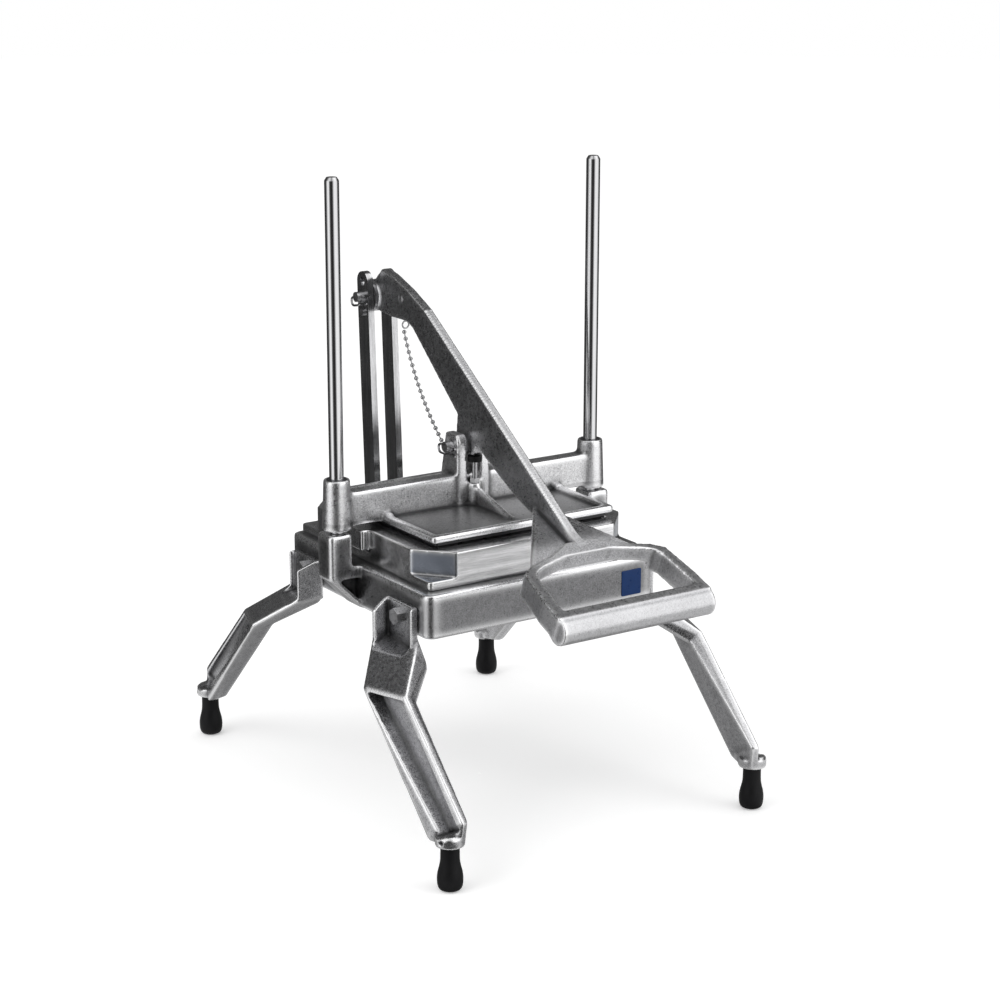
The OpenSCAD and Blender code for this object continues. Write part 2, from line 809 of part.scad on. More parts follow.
module link_bracket() {
    lug_r = 12;
    color(cast_metal)
        difference() {
            union() {
                translate([-bracket_w / 2, base_back, base_floor + 1])
                    cube([bracket_w, bracket_t, base_h - 4]);
                rod_along_x(-link_in + face_gap, link_in - face_gap, link_foot, lug_r);
                slab_yz(0, 2 * (link_in - face_gap), [
                    [base_back + 1, link_foot[1] - lug_r], [link_foot[0], link_foot[1] - lug_r],
                    [link_foot[0], link_foot[1] + lug_r], [base_back + 1, link_foot[1] + lug_r + 2]]);
            }
            rod_along_x(-link_in - 1, link_in + 1, link_foot, pin_d / 2 + fix_gap);
            bracket_screw_holes(base_back - 1, bracket_t + 2);
        }
}

module at_bracket_screws() {
    for (x = [-1, 1], z = [-1, 1])
        translate([x * (bracket_w / 2 - 9), 0, base_floor - 1 + base_h / 2 + z * (base_h / 2 - 11)])
            children();
}

module bracket_screw_holes(y, l) {
    at_bracket_screws()
        translate([0, y + l, 0])
            rotate([90, 0, 0])
                cylinder(d = m6 + 2 * fix_gap, h = l);
}

module bracket_screws() {
    color(steel)
        at_bracket_screws() {
            translate([0, base_back + bracket_t, 0])
                rotate([90, 0, 0])
                    cylinder(d = m6, h = bracket_t + base_wall - 0.5);
            translate([0, base_back + bracket_t + 4, 0])
                rotate([90, 0, 0])
                    difference() {
                        cylinder(d = 10, h = 4);
                        translate([0, 0, -1])
                            cylinder(d = 5, h = 3, $fn = 6);
                    }
        }
}

module link_foot_bolt() {
    color(steel) {
        rod_along_x(-link_out - face_gap, link_out + face_gap + 9, link_foot, pin_d / 2);
        translate([-link_out - face_gap - 6, link_foot[0], link_foot[1]])
            rotate([0, 90, 0])
                cylinder(r = 8.3, h = 6, $fn = 6);
    }
}

module link_foot_nut() {
    color(steel)
        difference() {
            translate([link_out + face_gap, link_foot[0], link_foot[1]])
                rotate([0, 90, 0])
                    cylinder(r = 8.3, h = 7, $fn = 6);
            rod_along_x(link_out, link_out + 20, link_foot, pin_d / 2 + fix_gap);
        }
}

// Children placed in the links' own frame: origin at the lower pivot, Z along the bars
module on_link() {
    translate([0, link_foot[0], link_foot[1]])
        rotate([-link_lean, 0, 0])
            children();
}

module link_bar(side) {
    tip = link_len + spare_hole;
    r = link_w / 2;
    color(steel)
        on_link()
            difference() {
                union() {
                    translate([side * (link_in + link_t / 2) - link_t / 2, -r, 0])
                        cube([link_t, link_w, tip]);
                    for (z = [0, tip])
                        rod_along_x(side * (link_in + link_t / 2) - link_t / 2,
                                    side * (link_in + link_t / 2) + link_t / 2, [0, z], r);
                }
                rod_along_x(-link_out - 1, link_out + 1, [0, 0], pin_d / 2 + run_gap);
                rod_along_x(-link_out - 1, link_out + 1, [0, link_len], pin_d / 2 + fix_gap);
                rod_along_x(-link_out - 1, link_out + 1, [0, tip], spare_d / 2);
                rod_along_x(-link_out - 1, link_out + 1, [0, link_len - 15], 2 + fix_gap);
            }
}

module link_head_pins() {
    color(steel)
        on_link()
            difference() {
                union() {
                    rod_along_x(upper_clip_x - 4.4, -link_in, [0, link_len], pin_d / 2);
                    rod_along_x(link_in, link_out + 0.5, [0, link_len], pin_d / 2);
                    rod_along_x(link_out, link_out + 4, [0, link_len], pin_d / 2 + 3);
                }
                translate([upper_clip_x, 0, link_len])
                    rotate([90 - clip_lean, 0, 0])
                        cylinder(d = wire_d + 2 * fix_gap, h = 2 * pin_d, center = true);
            }
}

module link_spacer_screws() {
    color(steel)
        on_link()
            for (s = [-1, 1])
                mirror([s > 0 ? 1 : 0, 0, 0]) {
                    rod_along_x(-link_out - 0.2, -link_in - 0.3, [0, link_len - 15], 2);
                    rod_along_x(-link_out - 2.2, -link_out, [0, link_len - 15], 3.4);
                }
}

// A round tube of radius r along a path of [y, z] points in the plane x = 0
module wire_path(path, r, sides = 8) {
    n = len(path);
    function run(i) = path[min(i + 1, n - 1)] - path[max(i - 1, 0)];
    rings = [for (i = [0 : n - 1], k = [0 : sides - 1])
        let (d = run(i) / norm(run(i)), a = 360 * k / sides)
            [r * cos(a), path[i][0] - r * sin(a) * d[1], path[i][1] + r * sin(a) * d[0]]];
    walls = [for (i = [0 : n - 2], k = [0 : sides - 1])
        let (a = i * sides + k, b = i * sides + (k + 1) % sides)
            each [[a, b, b + sides], [a, b + sides, a + sides]]];
    first = [for (k = [1 : sides - 2]) [0, k + 1, k]];
    last = [for (k = [1 : sides - 2]) [(n - 1) * sides, (n - 1) * sides + k, (n - 1) * sides + k + 1]];
    polyhedron(rings, concat(walls, first, last));
}

// A wire clip round a pin at the origin: a straight leg through the pin, an end loop
// behind it, and a second leg that arches under the pin
module wire_clip(pin_r, length) {
    back = pin_r + clip_loop + 3;
    under = pin_r + wire_d / 2 + 0.4;
    wire_path(concat(
        [[back - length, 0], [back - length / 2, 0]],
        [for (a = [90 : -20 : -90]) [back + clip_loop * cos(a), clip_loop * sin(a) - clip_loop]],
        [[pin_r * 0.9, -2 * clip_loop], [0, -under], [-pin_r * 0.8, 0.6 - under],
         [-pin_r * 1.6, 0.6 - under], [-pin_r * 2.6, -under - 0.8]]), wire_d / 2);
}

// A round bar from a to b
module hull_rod(a, b, r) {
    d = b - a;
    translate(a)
        rotate([0, acos(d[2] / norm(d)), atan2(d[1], d[0])])
            cylinder(r = r, h = norm(d));
}

module upper_clip() {
    color(steel)
        on_link()
            translate([upper_clip_x, 0, link_len])
                rotate([-clip_lean, 0, 0])
                    wire_clip(pin_d / 2, clip_len);
}

// Pusher head

module pusher_head() {
    color(cast_metal)
        difference() {
            union() {
                translate([0, 0, plate_z])
                    round_block(plate_w, plate_len, rim_h, 4);
                translate([-rod_x, -bar_t / 2, bar_z])
                    cube([rod_span, bar_t, bar_h]);
                at_both_rods()
                    translate([0, 0, boss_z])
                        cylinder(r1 = boss_foot_r, r2 = boss_top_r, h = boss_h);
                for (s = [-1, 1])
                    clevis_ear(s);
                centre_ribs();
                for (x = [-1, 1], y = [-1, 1])
                    translate([x * (plate_w / 2 - 8) - 7, y * (bar_t / 2 + 3) - 4, rim_z - 1])
                        cube([14, 8, 3.4]);
                translate([0, bumper_y, plate_z + 1])
                    cylinder(r = 6, h = screw_seat_z - plate_z - 1);
            }
            plate_pocket();
            at_both_rods()
                translate([0, 0, boss_z - 1])
                    cylinder(d = bushing_d + 2 * fix_gap, h = boss_h + 2);
            rod_along_x(-clevis_out - 1, clevis_out + 1, pivot, pin_d / 2 + run_gap);
            translate([0, bumper_y, plate_z + 6])
                cylinder(d = m5 + 2 * fix_gap, h = 60);
            translate([0, bumper_y, screw_seat_z])
                cylinder(r = nut_r + 0.5, h = bar_h);
            finger_screw_holes(plate_z - 1, finger_reach + 1.5);
        }
}

// The pocket inside the rim, in front of and behind the crossbar
module plate_pocket() {
    difference() {
        translate([0, 0, plate_z + plate_floor])
            round_block(plate_w - 2 * rim_w, plate_len - 2 * rim_w, rim_h, 3);
        translate([-rod_x, -bar_t / 2, plate_z])
            cube([rod_span, bar_t, 2 * bar_h]);
        for (s = [-1, 1])
            clevis_ear(s);
        centre_ribs();
        translate([0, bumper_y, plate_z + 1])
            cylinder(r = 6, h = 2 * rim_h);
    }
}

// One ear of the clevis, wider at its back foot
module clevis_ear(side) {
    front = -bar_t / 2 - 2.5;
    slab_yz(side * (clevis_in + clevis_t / 2), clevis_t, [
        [front, plate_z + 1], [front, pivot[1] + 5.5], [front + 3.5, pivot[1] + 11.5],
        [pivot_y + 10, pivot[1] + 11.5], [bar_t / 2 + 11, bar_top - 2.5],
        [bar_t / 2 + 2, plate_z + 6], [bar_t / 2 + 2, plate_z + 1]]);
}

// Upright ribs in front of and behind the crossbar
module centre_ribs() {
    for (s = [-1, 1])
        slab_yz(0, rib_t, [
            [s * (bar_t / 2 - 1), plate_z + 1], [s * (bar_t / 2 - 1), screw_seat_z - 1],
            [s * (bar_t / 2), screw_seat_z - 1], [s * (plate_len / 2 - rim_w - 10), plate_z + plate_floor],
            [s * (plate_len / 2 - rim_w - 10), plate_z + 1]]);
}

module guide_bushings() {
    color(dark_steel)
        at_both_rods()
            translate([0, 0, boss_z + 0.5])
                difference() {
                    cylinder(d = bushing_d, h = boss_h - 1);
                    translate([0, 0, -1])
                        cylinder(d = rod_d + 2 * run_gap, h = boss_h + 2);
                }
}

// Finger block

module finger_block() {
    top = plate_z;
    foot = lower_blade_z - finger_past;
    side = window + 2 * backing_lap;
    color(rubber_black)
        difference() {
            union() {
                translate([0, 0, top - backing_t])
                    round_block(side, side, backing_t, 3);
                for (i = [0 : cells - 1], j = [0 : cells - 1])
                    translate([(i - (cells - 1) / 2) * cell - finger / 2,
                               (j - (cells - 1) / 2) * cell - finger / 2, foot])
                        cube([finger, finger, top - foot - 0.5]);
            }
            finger_screw_holes(top - finger_seat - 1, finger_seat + 2);
            at_finger_screws()
                translate([0, 0, foot - 1])
                    cylinder(d = finger_head_d + 0.5, h = top - finger_seat - foot + 1);
        }
}

// Screws go up through the middle row of fingers into the crossbar
module at_finger_screws() {
    for (i = [-3, -1, 1, 3])
        translate([i * cell, 0, 0])
            children();
}

module finger_screw_holes(z, h) {
    at_finger_screws()
        translate([0, 0, z])
            cylinder(d = m5 + 2 * fix_gap, h = h);
}

module finger_block_screws() {
    color(steel)
        at_finger_screws()
            difference() {
                union() {
                    translate([0, 0, plate_z - finger_seat])
                        cylinder(d = m5, h = finger_seat + finger_reach);
                    translate([0, 0, plate_z - finger_seat - finger_head])
                        cylinder(d = finger_head_d, h = finger_head);
                }
                translate([0, 0, plate_z - finger_seat - finger_head - 1])
                    cylinder(d = 4, h = 4, $fn = 6);
            }
}

// Bumper under the lever

module bumper_screw() {
    color(steel)
        translate([0, bumper_y, plate_z + 8])
            cylinder(d = m5, h = bumper_z - plate_z - 8 + 3);
}

module bumper_nut() {
    color(steel)
        translate([0, bumper_y, screw_seat_z])
            difference() {
                cylinder(r = nut_r, h = 4.5, $fn = 6);
                translate([0, 0, -1])
                    cylinder(d = m5 + 2 * fix_gap, h = 7);
            }
}

module bumper() {
    color(rubber_black)
        translate([0, bumper_y, bumper_z])
            difference() {
                cylinder(d = bumper_d, h = bumper_t);
                translate([0, 0, -1])
                    cylinder(d = m5 + 2 * fix_gap, h = 4.05);
            }
}

// Lever

// Side outline of the arm, with the main pivot as its origin
function arm_outline() = [
    [head_back - 17, head_up + 27.6], [head_back - 33, head_up + 24], [head_back - 61, head_up + 14],
    [head_back - 91, head_up], [23 - grip_front, 10.6 - grip_down],
    [8 - grip_front, 3.4 - grip_down], [8 - grip_front, -10 - grip_down], [34 - grip_front, -3.4 - grip_down],
    for (k = [[0.629, 0.789], [0.449, 0.556], [0.237, 0.177]]) [-k[0] * grip_front, -k[1] * grip_down],
    [-22, 2.8], [9.3, 25.9],
    [head_back - 69.7, head_up - 20], [head_back - 60, head_up - 15.5], [head_back - 30, head_up - 15.6],
    [head_back - 3, head_up - head_r + 2.5], [head_back - 1, head_up + head_r - 1]
];

module lever_arm() {
    translate([0, pivot[0], pivot[1]]) {
        slab_yz(0, lever_t, arm_outline());
        slab_yz(0, lever_t, [
            [9.3, 25.9], [11.5, 8], [9, 0], [-8, 0], [3 - bumper_front, stop_z], [-bumper_front - 3, stop_z],
            [-bumper_front - 7, stop_z + 4], [-22, 2.8]]);
        rod_along_x(-clevis_in + 0.4, clevis_in - 0.4, [0, 0], pin_d / 2 + 4.7);
        rod_along_x(-lever_t / 2, lever_t / 2, [head_back, head_up], head_r);
        rod_along_x(-hub_w / 2, hub_w / 2, [head_back, head_up], head_r - 0.5);
        rod_along_x(-lever_t / 2 - 1, 0, [head_back - 50.4, head_up + 4], 3);
    }
}

// Half outline of the grip from the lever to the bar, as [across, down the slope]
function grip_half() = [
    [shoulder_w / 2 - 60, -16], [shoulder_w / 2 - 35, -2], [shoulder_w / 2 - 11, 5], [shoulder_w / 2, 13],
    [grip_w / 2 - 0.6, grip_len * 0.7], [grip_w / 2, grip_len]
];

function mirrored(points) = [for (i = [len(points) - 1 : -1 : 0]) [-points[i][0], points[i][1]]];

module grip_plan() {
    polygon([for (p = concat(grip_half(), mirrored(grip_half()))) [p[0], -p[1]]]);
}

module lever_grip() {
    bar_r = grip_bar_d / 2;
    translate([0, grip[0], grip[1]])
        rotate([grip_tilt, 0, 0]) {
            difference() {
                translate([0, 0, -arm_deep])
                    linear_extrude(arm_deep)
                        grip_plan();
                translate([0, 0, -arm_deep - 1])
                    linear_extrude(arm_deep + 2)
                        grip_opening();
                translate([-shoulder_w / 2 + arm_w, -12, -arm_deep - 1])
                    cube([shoulder_w - 2 * arm_w, 60, arm_deep - member_deep + 1]);
            }
            rod_along_x(1 - grip_w / 2, grip_w / 2 - 1, [-grip_len, -bar_r - bar_sink], bar_r);
            grip_webs();
        }
}

// The hand opening between the arms, the inner member and the bar
module grip_opening() {
    x0 = shoulder_w / 2 - arm_w - 4;
    x1 = grip_w / 2 - arm_w;
    y1 = grip_len - grip_bar_d / 2 + 2;
    half = [[x0 - 36, 0.8], [x0 - 8, 9], [x0 + 2, 14], [x0 + 6, 21], [x1, 60], [x1, y1]];
    polygon([for (p = concat(half, mirrored(half))) [p[0], -p[1]]]);
}

// Flat webs that spread from the arm to the grip's shoulders
module grip_webs() {
    translate([0, 0, -web_drop - web_t])
        linear_extrude(web_t)
            polygon([[1 - lever_t / 2, 80], [lever_t / 2 - 1, 80], [shoulder_w / 2 - 18, 3],
                     [shoulder_w / 2 - 18, -4], [20, 1.5], [-20, 1.5],
                     [-shoulder_w / 2 + 18, -4], [-shoulder_w / 2 + 18, 3]]);
}

module lever_handle() {
    color(cast_metal)
        difference() {
            union() {
                lever_arm();
                lever_grip();
            }
            rod_along_x(-20, 20, pivot, pin_d / 2 + fix_gap);
            rod_along_x(-20, 20, head, pin_d / 2 + 2.2);
            chain_eye_hole();
        }
}

module lever_head_bush() {
    color(dark_steel)
        difference() {
            rod_along_x(-link_in + face_gap, link_in - face_gap, head, pin_d / 2 + 2.2 - fix_gap);
            rod_along_x(-link_gap, link_gap, head, pin_d / 2 + run_gap);
        }
}

module lever_head_washers() {
    color(steel)
        for (s = [0, 1])
            mirror([s, 0, 0])
                difference() {
                    rod_along_x(hub_w / 2, link_in - face_gap, head, head_r - 1.5);
                    rod_along_x(0, link_gap, head, pin_d / 2 + 2.2 + fix_gap);
                }
}

module lever_pivot_pin() {
    color(steel)
        difference() {
            union() {
                rod_along_x(lower_clip_x - 4, clevis_out + face_gap + 1, pivot, pin_d / 2);
                rod_along_x(clevis_out + face_gap, clevis_out + face_gap + 3, pivot, pin_d / 2 + 2.5);
            }
            translate([lower_clip_x, pivot[0], pivot[1]])
                rotate([90, 0, 0])
                    cylinder(d = wire_d + 2 * fix_gap, h = 2 * pin_d, center = true);
        }
}

module lower_clip() {
    color(steel)
        translate([lower_clip_x, pivot[0], pivot[1]])
            wire_clip(pin_d / 2, clip_len * 0.7);
}

// Tether chain

eye_at = [0, head[0] - eye_front, head[1] - 15.5];
chain_top = [-1.5, eye_at[1], eye_at[2] - 11.6];
chain_low = [lower_clip_x, pivot[0] + pin_d / 2 + clip_loop + 2.2, pivot[1] + wire_d / 2 + bead_d / 2 + 0.5];
chain_bend = (chain_top + chain_low) / 2 + [-chain_swing, 0.65 * chain_sag, -0.75 * chain_sag];

// Point on the hanging curve at t from 0 to 1
function hang(t) = (1 - t) * (1 - t) * chain_top + 2 * t * (1 - t) * chain_bend + t * t * chain_low;

module tether_chain() {
    color(steel) {
        for (i = [0 : beads - 1])
            translate(hang(i / (beads - 1)))
                sphere(d = bead_d, $fn = 24);
        for (i = [0 : beads - 2])
            hull_rod(hang(i / (beads - 1)), hang((i + 1) / (beads - 1)), 0.6);
    }
}

module chain_eye_hole() {
    translate([eye_at[0], eye_at[1], eye_at[2] - 3])
        cylinder(d = 3 + 2 * fix_gap, h = 12);
}

module chain_eye() {
    color(steel)
        translate(eye_at) {
            translate([0, 0, -1.6])
                cylinder(d = 3, h = 9);
            translate([0, 0, -4.8])
                rotate([90, 0, 0])
                    rotate_extrude()
                        translate([3.4, 0])
                            circle(r = 0.8, $fn = 24);
        }
}

stand() base_frame();
stand() blade_frame();
stand() lower_blades();
stand() upper_blades();
stand() blade_frame_screws();
stand() leg_at(-1, -1);  // leg_front_left
stand() leg_at(1, -1);  // leg_front_right
stand() leg_at(-1, 1);  // leg_back_left
stand() leg_at(1, 1);  // leg_back_right
stand() foot_at(-1, -1);  // foot_front_left
stand() foot_at(1, -1);  // foot_front_right
stand() foot_at(-1, 1);  // foot_back_left
stand() foot_at(1, 1);  // foot_back_right
stand() foot_studs();
stand() foot_lock_screws();
stand() leg_bolts();
stand() leg_washers();
stand() leg_nuts();
stand() guide_rod(-1);  // guide_rod_left
stand() guide_rod(1);  // guide_rod_right
stand() rod_set_screws();
stand() blank_label();
stand() link_bracket();
stand() bracket_screws();
stand() link_foot_bolt();
stand() link_foot_nut();
stand() pusher_head();
stand() guide_bushings();
stand() finger_block();
stand() finger_block_screws();
stand() bumper();
stand() bumper_screw();
stand() bumper_nut();
stand() lever_handle();
stand() lever_head_bush();
stand() lever_head_washers();
stand() lever_pivot_pin();
stand() lower_clip();
stand() tether_chain();
stand() chain_eye();
stand() link_bar(-1);  // link_bar_left
stand() link_bar(1);  // link_bar_right
stand() link_head_pins();
stand() link_spacer_screws();
stand() upper_clip();
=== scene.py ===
"""A manual vegetable slicer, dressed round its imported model: soft cast edges, turned pieces and metal
finishes."""

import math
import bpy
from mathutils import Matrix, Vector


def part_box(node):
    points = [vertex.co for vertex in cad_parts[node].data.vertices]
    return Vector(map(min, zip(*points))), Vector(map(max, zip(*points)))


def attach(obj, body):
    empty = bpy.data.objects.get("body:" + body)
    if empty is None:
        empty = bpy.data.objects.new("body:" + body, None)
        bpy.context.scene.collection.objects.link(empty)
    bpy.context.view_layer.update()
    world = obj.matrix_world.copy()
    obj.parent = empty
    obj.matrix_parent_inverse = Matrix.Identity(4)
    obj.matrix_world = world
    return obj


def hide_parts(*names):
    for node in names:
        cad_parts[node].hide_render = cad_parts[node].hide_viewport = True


bl_info = {
    "name": "Vegetable Slicer",
    "version": (1, 0, 0),
    "blender": (4, 5, 0),
    "location": "3D View > Sidebar > Slicer",
    "description": "Builds the looks of a lever-operated vegetable slicer on its packed parts",
    "category": "Object",
}

import bmesh
import bpy
import numpy as np
from mathutils import Matrix, Vector

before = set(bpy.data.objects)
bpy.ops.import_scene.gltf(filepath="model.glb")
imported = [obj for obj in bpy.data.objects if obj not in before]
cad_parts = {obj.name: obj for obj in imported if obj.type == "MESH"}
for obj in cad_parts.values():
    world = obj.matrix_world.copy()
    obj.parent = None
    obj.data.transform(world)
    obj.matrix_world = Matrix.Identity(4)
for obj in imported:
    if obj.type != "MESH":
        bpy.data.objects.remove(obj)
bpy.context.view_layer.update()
MM = 0.001

LEGS = ("leg_front_left", "leg_front_right", "leg_back_left", "leg_back_right")
FEET = ("foot_front_left", "foot_front_right", "foot_back_left", "foot_back_right")

# Each casting's body, mesh step and finish
CASTINGS = {
    "base_frame": ("frame", 1.35 * MM, "base"),
    "link_bracket": ("frame", 0.9 * MM, "base"),
    "pusher_head": ("pusher", 1.25 * MM, "casting"),
    "lever_handle": ("lever", 0.9 * MM, "lever"),
    **{leg: ("frame", 0.9 * MM, "leg") for leg in LEGS},
}
# The machined blade frame's mesh step and smoothing rounds
BLADE_FRAME_STEP = 1.1 * MM
BLADE_FRAME_ROUNDS = 2
# Rounds that spread a casting's wider mean, rounds that blur its edge and nook marks (edges partly wear and
# partly a painted highlight, nooks a painted shade), and the height in mesh steps at which an edge or a nook
# is fully marked
MEAN_ROUNDS = 8
WEAR_AND_PAINTED_LIGHT_ROUNDS = 6
FULL_WEAR_AND_PAINTED_LIGHT = 0.4

# From the underside of the pusher's plate up to its sunk field; below this height its tone is halved, a
# painted shade
PLATE_FIELD = 7.4 * MM
# From the lever's front end to the back of its grip
GRIP_LENGTH = 84 * MM
# The faces cut across the blade frame's front corners, which the brushed finish paints dark (a painted
# shade): a, b and distance of a |x| - b y = distance, and their lower and upper ends
CORNER_FACES = (0.748, 0.664, 123.1 * MM, 228.5 * MM, 249.3 * MM)

# A guide rod's tip: how far its outline stands in from the rod's radius and below its top
ROD_TIP = ((0.05 * MM, 3.0 * MM), (0.25 * MM, 2.6 * MM), (1.6 * MM, 0.5 * MM), (1.95 * MM, 0.1 * MM),
           (2.4 * MM, 0))
# A foot's outline: shares of its largest radius at heights
FOOT_CURVE = ((0.62, 0), (0.86, 1.6 * MM), (0.97, 5 * MM), (1, 10.5 * MM), (0.95, 15.5 * MM),
              (0.82, 21.5 * MM), (0.745, 27 * MM))
# The label film's corner radius, and the shares of its outline at heights over its plate
LABEL_CORNER = 1.2 * MM
LABEL_FACE = ((1.0, 0.1 * MM), (0.985, 0.25 * MM), (0.9, 0.3 * MM), (0.5, 0.3 * MM))

# The camera's sensor width in millimetres
SENSOR = 36
# Radii of the floor and of the white sheet on it
FLOOR_R = 8.0
SHEET_R = 0.95
# The room's grey tones at turns from the camera in degrees, at eye level and overhead
ROOM_LEVEL = ((-180, 0.1), (-160, 0.1), (-106, 0.03), (-93, 0.08), (-80, 0.42), (-66, 1.25), (-42, 1.25),
              (-29, 0.15), (-14, 0.03), (13, 0.03), (22, 0.35), (38, 1.3), (84, 1.25), (103, 0.2),
              (116, 0.04), (160, 0.08), (180, 0.1))
ROOM_HIGH = ((-180, 0.05), (-125, 0.05), (-92, 0.2), (-62, 1.0), (-30, 1.0), (0, 0.3), (38, 1.0),
             (70, 1.5), (124, 1.4), (146, 0.1), (180, 0.05))
# Upward parts of a direction between which eye level gives way to overhead
OVERHEAD = (0.42, 0.7)
# Cards on the floor that only reflections see: radii, turns from the camera, height and tone
CARDS = (
    ("sheet", 0.0, SHEET_R, -180, 180, 0.5 * MM, 0.62),
    # sheet_shade is a painted shadow: a darker disc under the object, seen only in reflections.
    ("sheet_shade", 0.0, 0.27, -180, 180, 0.8 * MM, 0.3),
    ("cloth_front", 0.3, SHEET_R, -28, 13, 1 * MM, 0.06),
    ("cloth_left", 0.5, SHEET_R, -165, -92, 1 * MM, 0.05),
)
# Lamps: distances from the object's middle towards the camera, to the right and up, size and power
LAMPS = (("left_box", 1.1, -1.5, 1.5, 1.4, 14), ("right_box", 0.6, 1.8, 1.2, 1.2, 8))
LAMP_AIM = Vector((0, 0, 0.25))


# Sizes and colours that a user would change

class SlicerCastings(bpy.types.PropertyGroup):
    tone: bpy.props.FloatVectorProperty(
        name="Tone", description="Colour of the cast aluminium", subtype="COLOR",
        default=(0.56, 0.56, 0.575), min=0, max=1)
    roughness: bpy.props.FloatProperty(
        name="Roughness", description="Roughness of the tumbled casting", default=0.34, min=0.1, max=0.8)
    grain: bpy.props.FloatProperty(
        name="Grain", description="Size of the casting's grain", default=1.3 * MM, unit="LENGTH",
        min=0.3 * MM, max=3 * MM)
    softness: bpy.props.IntProperty(
        name="Softness", description="Smoothing rounds that round the cast edges", default=7, min=1, max=16)


class SlicerMetal(bpy.types.PropertyGroup):
    rod_tone: bpy.props.FloatVectorProperty(
        name="Rod tone", description="Colour of the polished rods", subtype="COLOR",
        default=(0.66, 0.66, 0.67), min=0, max=1)
    steel_tone: bpy.props.FloatVectorProperty(
        name="Steel tone", description="Colour of pins and screws", subtype="COLOR",
        default=(0.55, 0.55, 0.56), min=0, max=1)
    dark_tone: bpy.props.FloatVectorProperty(
        name="Dark steel tone", description="Colour of set screws and bushes", subtype="COLOR",
        default=(0.2, 0.2, 0.21), min=0, max=1)


class SlicerSoft(bpy.types.PropertyGroup):
    rubber: bpy.props.FloatVectorProperty(
        name="Rubber", description="Colour of the feet and the bumper", subtype="COLOR",
        default=(0.004, 0.004, 0.0045), min=0, max=1)
    plastic: bpy.props.FloatVectorProperty(
        name="Plastic", description="Colour of the finger block", subtype="COLOR",
        default=(0.02, 0.02, 0.022), min=0, max=1)
    label: bpy.props.FloatVectorProperty(
        name="Label", description="Colour of the blank label", subtype="COLOR",
        default=(0.002, 0.028, 0.12), min=0, max=1)


class SlicerStage(bpy.types.PropertyGroup):
    azimuth: bpy.props.FloatProperty(
        name="Azimuth", description="Camera's turn round the object", subtype="ANGLE",
        default=math.radians(-33.602))
    elevation: bpy.props.FloatProperty(
        name="Elevation", description="Camera's height angle", subtype="ANGLE",
        default=math.radians(15.304))
    roll: bpy.props.FloatProperty(
        name="Roll", description="Camera's roll", subtype="ANGLE", default=math.radians(0.111))
    place: bpy.props.FloatVectorProperty(
        name="Place", description="Camera's place", subtype="XYZ", unit="LENGTH",
        default=(-1.128977, -1.732154, 0.828763))
    lens: bpy.props.FloatProperty(
        name="Lens", description="Camera's focal length in millimetres", default=85.809, min=20, max=200)
    fill: bpy.props.FloatProperty(
        name="Fill", description="Light from all round", default=0.8, min=0, max=2)


# Shader maths

class Val:
    """A socket of a material's nodes that can be used in sums."""

    def __init__(self, shade, socket):
        self.shade = shade
        self.socket = socket

    def sum(self, operation, *terms):
        return self.shade.sum(operation, *terms)

    def __add__(self, other):
        return self.sum("ADD", self, other)

    def __sub__(self, other):
        return self.sum("SUBTRACT", self, other)

    def __mul__(self, other):
        return self.sum("MULTIPLY", self, other)

    def __truediv__(self, other):
        return self.sum("DIVIDE", self, other)

    def __rsub__(self, other):
        return self.sum("SUBTRACT", other, self)

    def __rtruediv__(self, other):
        return self.sum("DIVIDE", other, self)

    __radd__ = __add__
    __rmul__ = __mul__

    def clip(self):
        return self.sum("MINIMUM", self.sum("MAXIMUM", self, 0.0), 1.0)

    def step(self, low, high):
        """0 below low, 1 above high and smooth between them."""
        return self.shade.node(
            "ShaderNodeMapRange", {"interpolation_type": "SMOOTHSTEP"}, self, low, high, 0.0, 1.0)


class Tree:
    """The nodes of a material or of the world."""

    def __init__(self, tree):
        self.tree = tree

    def feed(self, socket, value):
        """Links a socket to a Val, or sets its own value; a colour gets its alpha."""
        if isinstance(value, Val):
            self.tree.links.new(value.socket, socket)
        elif hasattr(value, "__len__") and socket.type == "RGBA":
            socket.default_value = tuple(value)[:3] + (1.0,)
        else:
            socket.default_value = value

    def node(self, kind, settings=None, *values, out=0, **named):
        """A node of that kind: its settings first, then values or links for its sockets."""
        made = self.tree.nodes.new(kind)
        for key, value in (settings or {}).items():
            if key == "stops":
                ramp = made.color_ramp.elements
                while len(ramp) < len(value):
                    ramp.new(0.5)
                for element, (place, colour) in zip(ramp, value):
                    element.position = place
                    element.color = tuple(colour) + (1.0,)
            else:
                setattr(made, key, value)
        for socket, value in zip(made.inputs, values):
            if value is not None:
                self.feed(socket, value)
        for key, value in named.items():
            self.feed(made.inputs[key.replace("_", " ")], value)
        return Val(self, made.outputs[out]) if made.outputs else None

    def mix(self, factor, low, high):
        """A colour between low and high."""
        made = self.tree.nodes.new("ShaderNodeMix")
        made.data_type = "RGBA"
        self.feed(made.inputs[0], factor)
        self.feed(made.inputs[6], low)
        self.feed(made.inputs[7], high)
        return Val(self, made.outputs[2])

    def sum(self, operation, *terms):
        return self.node("ShaderNodeMath", {"operation": operation}, *terms)

    def light_path(self, kind):
        """1 on rays of that kind, such as Camera or Glossy."""
        return self.node("ShaderNodeLightPath", out="Is %s Ray" % kind)


